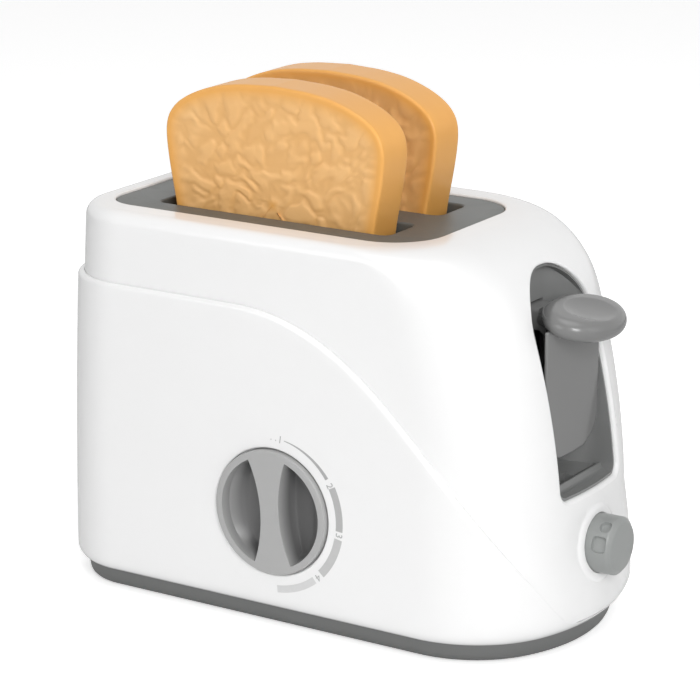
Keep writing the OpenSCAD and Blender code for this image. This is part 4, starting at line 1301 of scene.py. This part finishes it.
def scaleBand(start, end, inner, outer, steps=28):
    # inner and outer give the radii at the start and at the end
    rings = []
    for i in range(steps + 1):
        t = i / steps
        a = start + (end - start) * t
        r0, r1 = inner[0] * (1 - t) + inner[1] * t, outer[0] * (1 - t) + outer[1] * t
        y = (scaleFace - scale["thick"], scaleFace + 0.05)
        rings.append([scalePoint(a, r0, y[0]), scalePoint(a, r1, y[0]),
                      scalePoint(a, r1, y[1]), scalePoint(a, r0, y[1])])
    return loft("band", rings)


def scaleDigit(text, angle, r):
    curve = bpy.data.curves.new("digit", "FONT")
    curve.body = text
    curve.size = scale["digitSize"] * mm
    curve.extrude = scale["thick"] * mm
    curve.align_x = "CENTER"
    curve.align_y = "CENTER"
    digit = bpy.data.objects.new("digit", curve)
    bpy.context.scene.collection.objects.link(digit)
    graph = bpy.context.evaluated_depsgraph_get()
    mesh = bpy.data.meshes.new_from_object(digit.evaluated_get(graph))
    bpy.data.objects.remove(digit)
    spot = Vector(scalePoint(angle, r, scaleFace)) * mm
    mesh.transform(Matrix.Translation(spot) @ Matrix.Rotation(math.radians(angle), 4, "Y")
                   @ Matrix.Rotation(math.radians(90), 4, "X"))
    piece = bpy.data.objects.new("digit", mesh)
    bpy.context.scene.collection.objects.link(piece)
    return piece


def buildScale():
    parts = []

    def add(piece, tone):
        parts.append(withValues(piece, "tone", [tone] * len(piece.data.vertices)))

    for angle, r in scale["dots"]:
        add(scaleBand(angle - 0.45, angle + 0.45, (r - 0.2,) * 2, (r + 0.2,) * 2, 3), 0.5)
    start, end, r0, r1 = scale["line"]
    add(scaleBand(start, end, (r0 - 0.12, r1 - 1.1), (r0 + 0.12, r1 + 0.2)), 0.38)
    for start, end, r0, r1, tone in scale["bands"]:
        add(scaleBand(start, end, (r0,) * 2, (r1,) * 2), tone)
    for text, angle, r in scale["digits"]:
        add(scaleDigit(text, angle, r), 0.4)
    return joinPieces("dialScale", parts)


def inkMaterial():
    material, tree, shader = newMaterial("scaleInk")
    tone = addNode(tree, "ShaderNodeAttribute", attribute_name="tone")
    grain = addNode(tree, "ShaderNodeGroup", node_tree=grainGroup)
    ink = addNode(tree, "ShaderNodeMath", [(0, grain.outputs["Height"]), (1, 0.04),
                                           (2, tone.outputs["Fac"])], operation="MULTIPLY_ADD")
    colour = addNode(tree, "ShaderNodeCombineColor", [(i, ink.outputs[0]) for i in range(3)])
    tree.links.new(colour.outputs[0], shader.inputs["Base Color"])
    rough = addNode(tree, "ShaderNodeMapRange", [("Value", grain.outputs["Patches"]),
                                                 ("To Min", 0.35), ("To Max", 0.5)])
    tree.links.new(rough.outputs["Result"], shader.inputs["Roughness"])
    return material


materials["scaleInk"] = inkMaterial()
dialScale = finishPiece(buildScale(), "housing", materials["scaleInk"], "dial_grey")
print("dial scale")


# screws: one Geometry Nodes tree, run once for each set

screwSets = {
    # node: body, head radius, head height, shank radius, shank length, turn, seats
    "base_screws": ("housing", 2.9, 0.9, 1.25, 18, (0, 0, 0),
                    [(x, y, 1.8) for x, y in base["screws"]]),
    "plate_screws": ("housing", 2.8, 1.4, 1.25, 3.6, (0, 0, 0),
                     [(x, y, 127.6) for x in (-60, 25) for y in (-42, 42)]),
    "bridge_screws": ("housing", 2.6, 1.4, 1.25, 6.6, (0, -90, 0), [(28.3, 0, 106), (28.3, 0, 113)]),
    "bracket_screws": ("housing", 2.8, 1.4, 1.25, 7.5, (90, 0, 0),
                       [(dial["x"] + s * 25, -35.2, dial["z"]) for s in (-1, 1)]),
    "dial_screw": ("dial", 5.2, 1.4, 1.2, 5.2, (90, 0, 0), [(dial["x"], -31.45, dial["z"])]),
    "lever_screws": ("lever_unit", 2.4, 1.4, 1.0, 10, (0, 90, 0), [(56, -3, 107.25), (56, 3, 107.25)]),
}


def screwTree():
    tree = bpy.data.node_groups.new("screwSet", "GeometryNodeTree")
    face = tree.interface
    face.new_socket("Geometry", in_out="INPUT", socket_type="NodeSocketGeometry")
    for label, value in (("Head Radius", 0.0028), ("Head Height", 0.0014), ("Shank Radius", 0.00125),
                         ("Shank Length", 0.01), ("Thread Pitch", 0.0008)):
        face.new_socket(label, in_out="INPUT", socket_type="NodeSocketFloat").default_value = value
    face.new_socket("Turn", in_out="INPUT", socket_type="NodeSocketVector")
    face.new_socket("Steel", in_out="INPUT", socket_type="NodeSocketMaterial")
    face.new_socket("Geometry", in_out="OUTPUT", socket_type="NodeSocketGeometry")
    given = tree.nodes.new("NodeGroupInput").outputs
    result = tree.nodes.new("NodeGroupOutput")

    def calc(operation, a, b):
        return addNode(tree, "ShaderNodeMath", [(0, a), (1, b)], operation=operation).outputs[0]

    def moved(mesh, x=0.0, y=0.0, z=0.0):
        place = addNode(tree, "ShaderNodeCombineXYZ", [(0, x), (1, y), (2, z)])
        return addNode(tree, "GeometryNodeTransform", [("Geometry", mesh),
                                                       ("Translation", place.outputs[0])]).outputs[0]

    # head: a cylinder with a narrower crown, and a cross-shaped recess cut from it
    headR, headH, shankR, length = (given[label] for label in (
        "Head Radius", "Head Height", "Shank Radius", "Shank Length"))
    below = calc("MULTIPLY", headH, -1.0)
    crown = addNode(tree, "GeometryNodeMeshCone",
                    [("Vertices", 28), ("Side Segments", 1), ("Radius Top", headR),
                     ("Radius Bottom", calc("MULTIPLY", headR, 0.8)), ("Depth", headH)])
    head = moved(crown.outputs["Mesh"], z=below)
    cross = []
    for wide, narrow in ((0, 1), (1, 0)):
        size = [calc("MULTIPLY", headR, 1.1), calc("MULTIPLY", headR, 0.22)]
        box = addNode(tree, "ShaderNodeCombineXYZ", [(0, size[wide]), (1, size[narrow]), (2, headH)])
        cube = addNode(tree, "GeometryNodeMeshCube", [("Size", box.outputs[0])])
        cross.append(moved(cube.outputs["Mesh"], z=below))
    cut = addNode(tree, "GeometryNodeMeshBoolean", operation="DIFFERENCE", solver="EXACT")
    tree.links.new(head, cut.inputs["Mesh 1"])
    for bar in cross:
        tree.links.new(bar, cut.inputs["Mesh 2"])
    # shank with a thread wound round it
    core = calc("MULTIPLY", shankR, 0.8)
    shank = addNode(tree, "GeometryNodeMeshCylinder", [("Vertices", 20), ("Radius", core),
                                                       ("Depth", length)])
    shankMesh = moved(shank.outputs["Mesh"], z=calc("MULTIPLY", length, 0.5))
    threaded = calc("MULTIPLY", length, 0.8)
    spiral = addNode(tree, "GeometryNodeCurveSpiral",
                     [("Resolution", 16), ("Rotations", calc("DIVIDE", threaded, given["Thread Pitch"])),
                      ("Start Radius", core), ("End Radius", core), ("Height", threaded)])
    ring = addNode(tree, "GeometryNodeCurvePrimitiveCircle",
                   [("Resolution", 4), ("Radius", calc("MULTIPLY", shankR, 0.19))])
    thread = addNode(tree, "GeometryNodeCurveToMesh", [("Curve", spiral.outputs["Curve"]),
                                                       ("Profile Curve", ring.outputs["Curve"]),
                                                       ("Fill Caps", True)])
    threadMesh = moved(thread.outputs["Mesh"], z=calc("MULTIPLY", length, 0.12))
    screw = addNode(tree, "GeometryNodeJoinGeometry")
    for part in (cut.outputs["Mesh"], shankMesh, threadMesh):
        tree.links.new(part, screw.inputs[0])
    turned = addNode(tree, "FunctionNodeEulerToRotation", [("Euler", given["Turn"])])
    placed = addNode(tree, "GeometryNodeInstanceOnPoints", [("Points", given["Geometry"]),
                                                            ("Instance", screw.outputs[0]),
                                                            ("Rotation", turned.outputs[0])])
    realized = addNode(tree, "GeometryNodeRealizeInstances", [("Geometry", placed.outputs[0])])
    dressed = addNode(tree, "GeometryNodeSetMaterial", [("Geometry", realized.outputs[0]),
                                                        ("Material", given["Steel"])])
    tree.links.new(dressed.outputs[0], result.inputs[0])
    return tree


screws = screwTree()
for node, (bodyName, headR, headH, shankR, length, turn, seats) in screwSets.items():
    screwSet = newObject(node + "Set", seats, [])
    growWith(screwSet, screws, {
        "Head Radius": headR * mm, "Head Height": headH * mm / 1.5, "Shank Radius": shankR * mm,
        "Shank Length": length * mm, "Turn": [math.radians(a) for a in turn],
        "Steel": materials["steel"]})
    faceOutwards(screwSet)
    finishPiece(shade(screwSet, 35), bodyName, materials["steel"], "steel", node)
print("screws")

nodeLooks = {
    "slice_well_front": "wellGrey", "slice_well_rear": "wellGrey", "rod_bridge": "wellGrey",
    "dial_bracket": "wellGrey", "toast_carriage": "wellGrey",
    "guide_rods": "steel", "lift_spring": "steel", "button_spring": "steel", "latch_spring": "steel",
    "latch_pin": "steel", "click_spring": "steel",
    "click_wheel": "naturalPlastic", "latch_rocker": "naturalPlastic",
}
for node, look in nodeLooks.items():
    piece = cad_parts[node]
    piece.data.materials.clear()
    piece.data.materials.append(materials[look])
print("carried-over nodes dressed")


# camera, floor and light, with places in metres, light powers in watts
cameraSettings = {
    "place": (0.5032, -0.8049, 0.3590),
    "towards": (-0.5134, 0.8121, -0.2773),
    "lens": 150.07,
    "sensor": 36.0,
}
studio = {
    "floorTone": 0.9,
    "floorGlow": 0.52,     # only for the camera, so that just the contact shadow is left on the sheet
    "skyTone": 0.27,
    "skySeen": 1.0,        # in reflections and behind the toaster
    # name: place, aim, size, power
    "lights": {
        "keyLight": ((1.0, -1.0, 0.72), (0, 0, 0.07), (0.6, 0.6), 12.0),
        "fillLight": ((-0.5, -1.3, 0.5), (0, 0, 0.07), (0.7, 0.6), 2.9),
        "topLight": ((0.1, -0.1, 1.2), (0, 0, 0.05), (0.9, 0.9), 4.7),
        "sideLight": ((1.2, 0.1, 0.6), (0, 0, 0.08), (0.6, 0.8), 1.2),
    },
}


def buildCamera():
    data = bpy.data.cameras.new("camera")
    data.lens = cameraSettings["lens"]
    data.sensor_width = cameraSettings["sensor"]
    data.clip_end = 10
    camera = bpy.data.objects.new("camera", data)
    bpy.context.scene.collection.objects.link(camera)
    camera.location = cameraSettings["place"]
    camera.rotation_euler = Vector(cameraSettings["towards"]).to_track_quat("-Z", "Y").to_euler()
    bpy.context.scene.camera = camera


def buildStage():
    r = 3000
    sheet = newObject("floor", [(-r, -r, 0), (r, -r, 0), (r, r, 0), (-r, r, 0)], [(0, 1, 2, 3)])
    material, tree, shader = newMaterial("floorWhite")
    shader.inputs["Base Color"].default_value = (*[studio["floorTone"]] * 3, 1)
    shader.inputs["Roughness"].default_value = 0.6
    path = tree.nodes.new("ShaderNodeLightPath")
    lift = addNode(tree, "ShaderNodeMath", [(0, path.outputs["Is Camera Ray"]),
                                            (1, studio["floorGlow"])], operation="MULTIPLY")
    shader.inputs["Emission Color"].default_value = (1, 1, 1, 1)
    tree.links.new(lift.outputs[0], shader.inputs["Emission Strength"])
    sheet.data.materials.append(material)


def buildWorld():
    world = bpy.data.worlds.new("studio")
    bpy.context.scene.world = world
    world.use_nodes = True
    tree = world.node_tree
    background = tree.nodes["Background"]
    path = tree.nodes.new("ShaderNodeLightPath")
    seen = path.outputs["Is Camera Ray"]
    for ray in ("Is Glossy Ray", "Is Transmission Ray"):
        seen = addNode(tree, "ShaderNodeMath", [(0, seen), (1, path.outputs[ray])],
                       operation="MAXIMUM").outputs[0]
    strength = addNode(tree, "ShaderNodeMapRange", [("Value", seen), ("To Min", studio["skyTone"]),
                                                    ("To Max", studio["skySeen"])])
    tree.links.new(strength.outputs["Result"], background.inputs["Strength"])
    background.inputs["Color"].default_value = (1, 1, 1, 1)


def areaLight(name, place, aim, size, power):
    data = bpy.data.lights.new(name, "AREA")
    data.energy = power
    data.shape = "RECTANGLE"
    data.size, data.size_y = size
    light = bpy.data.objects.new(name, data)
    bpy.context.scene.collection.objects.link(light)
    light.location = place
    light.rotation_euler = (Vector(aim) - Vector(place)).to_track_quat("-Z", "Y").to_euler()


buildCamera()
buildStage()
buildWorld()
for name, light in studio["lights"].items():
    areaLight(name, *light)
bpy.context.scene.view_settings.view_transform = "Standard"
print("camera, floor and light")
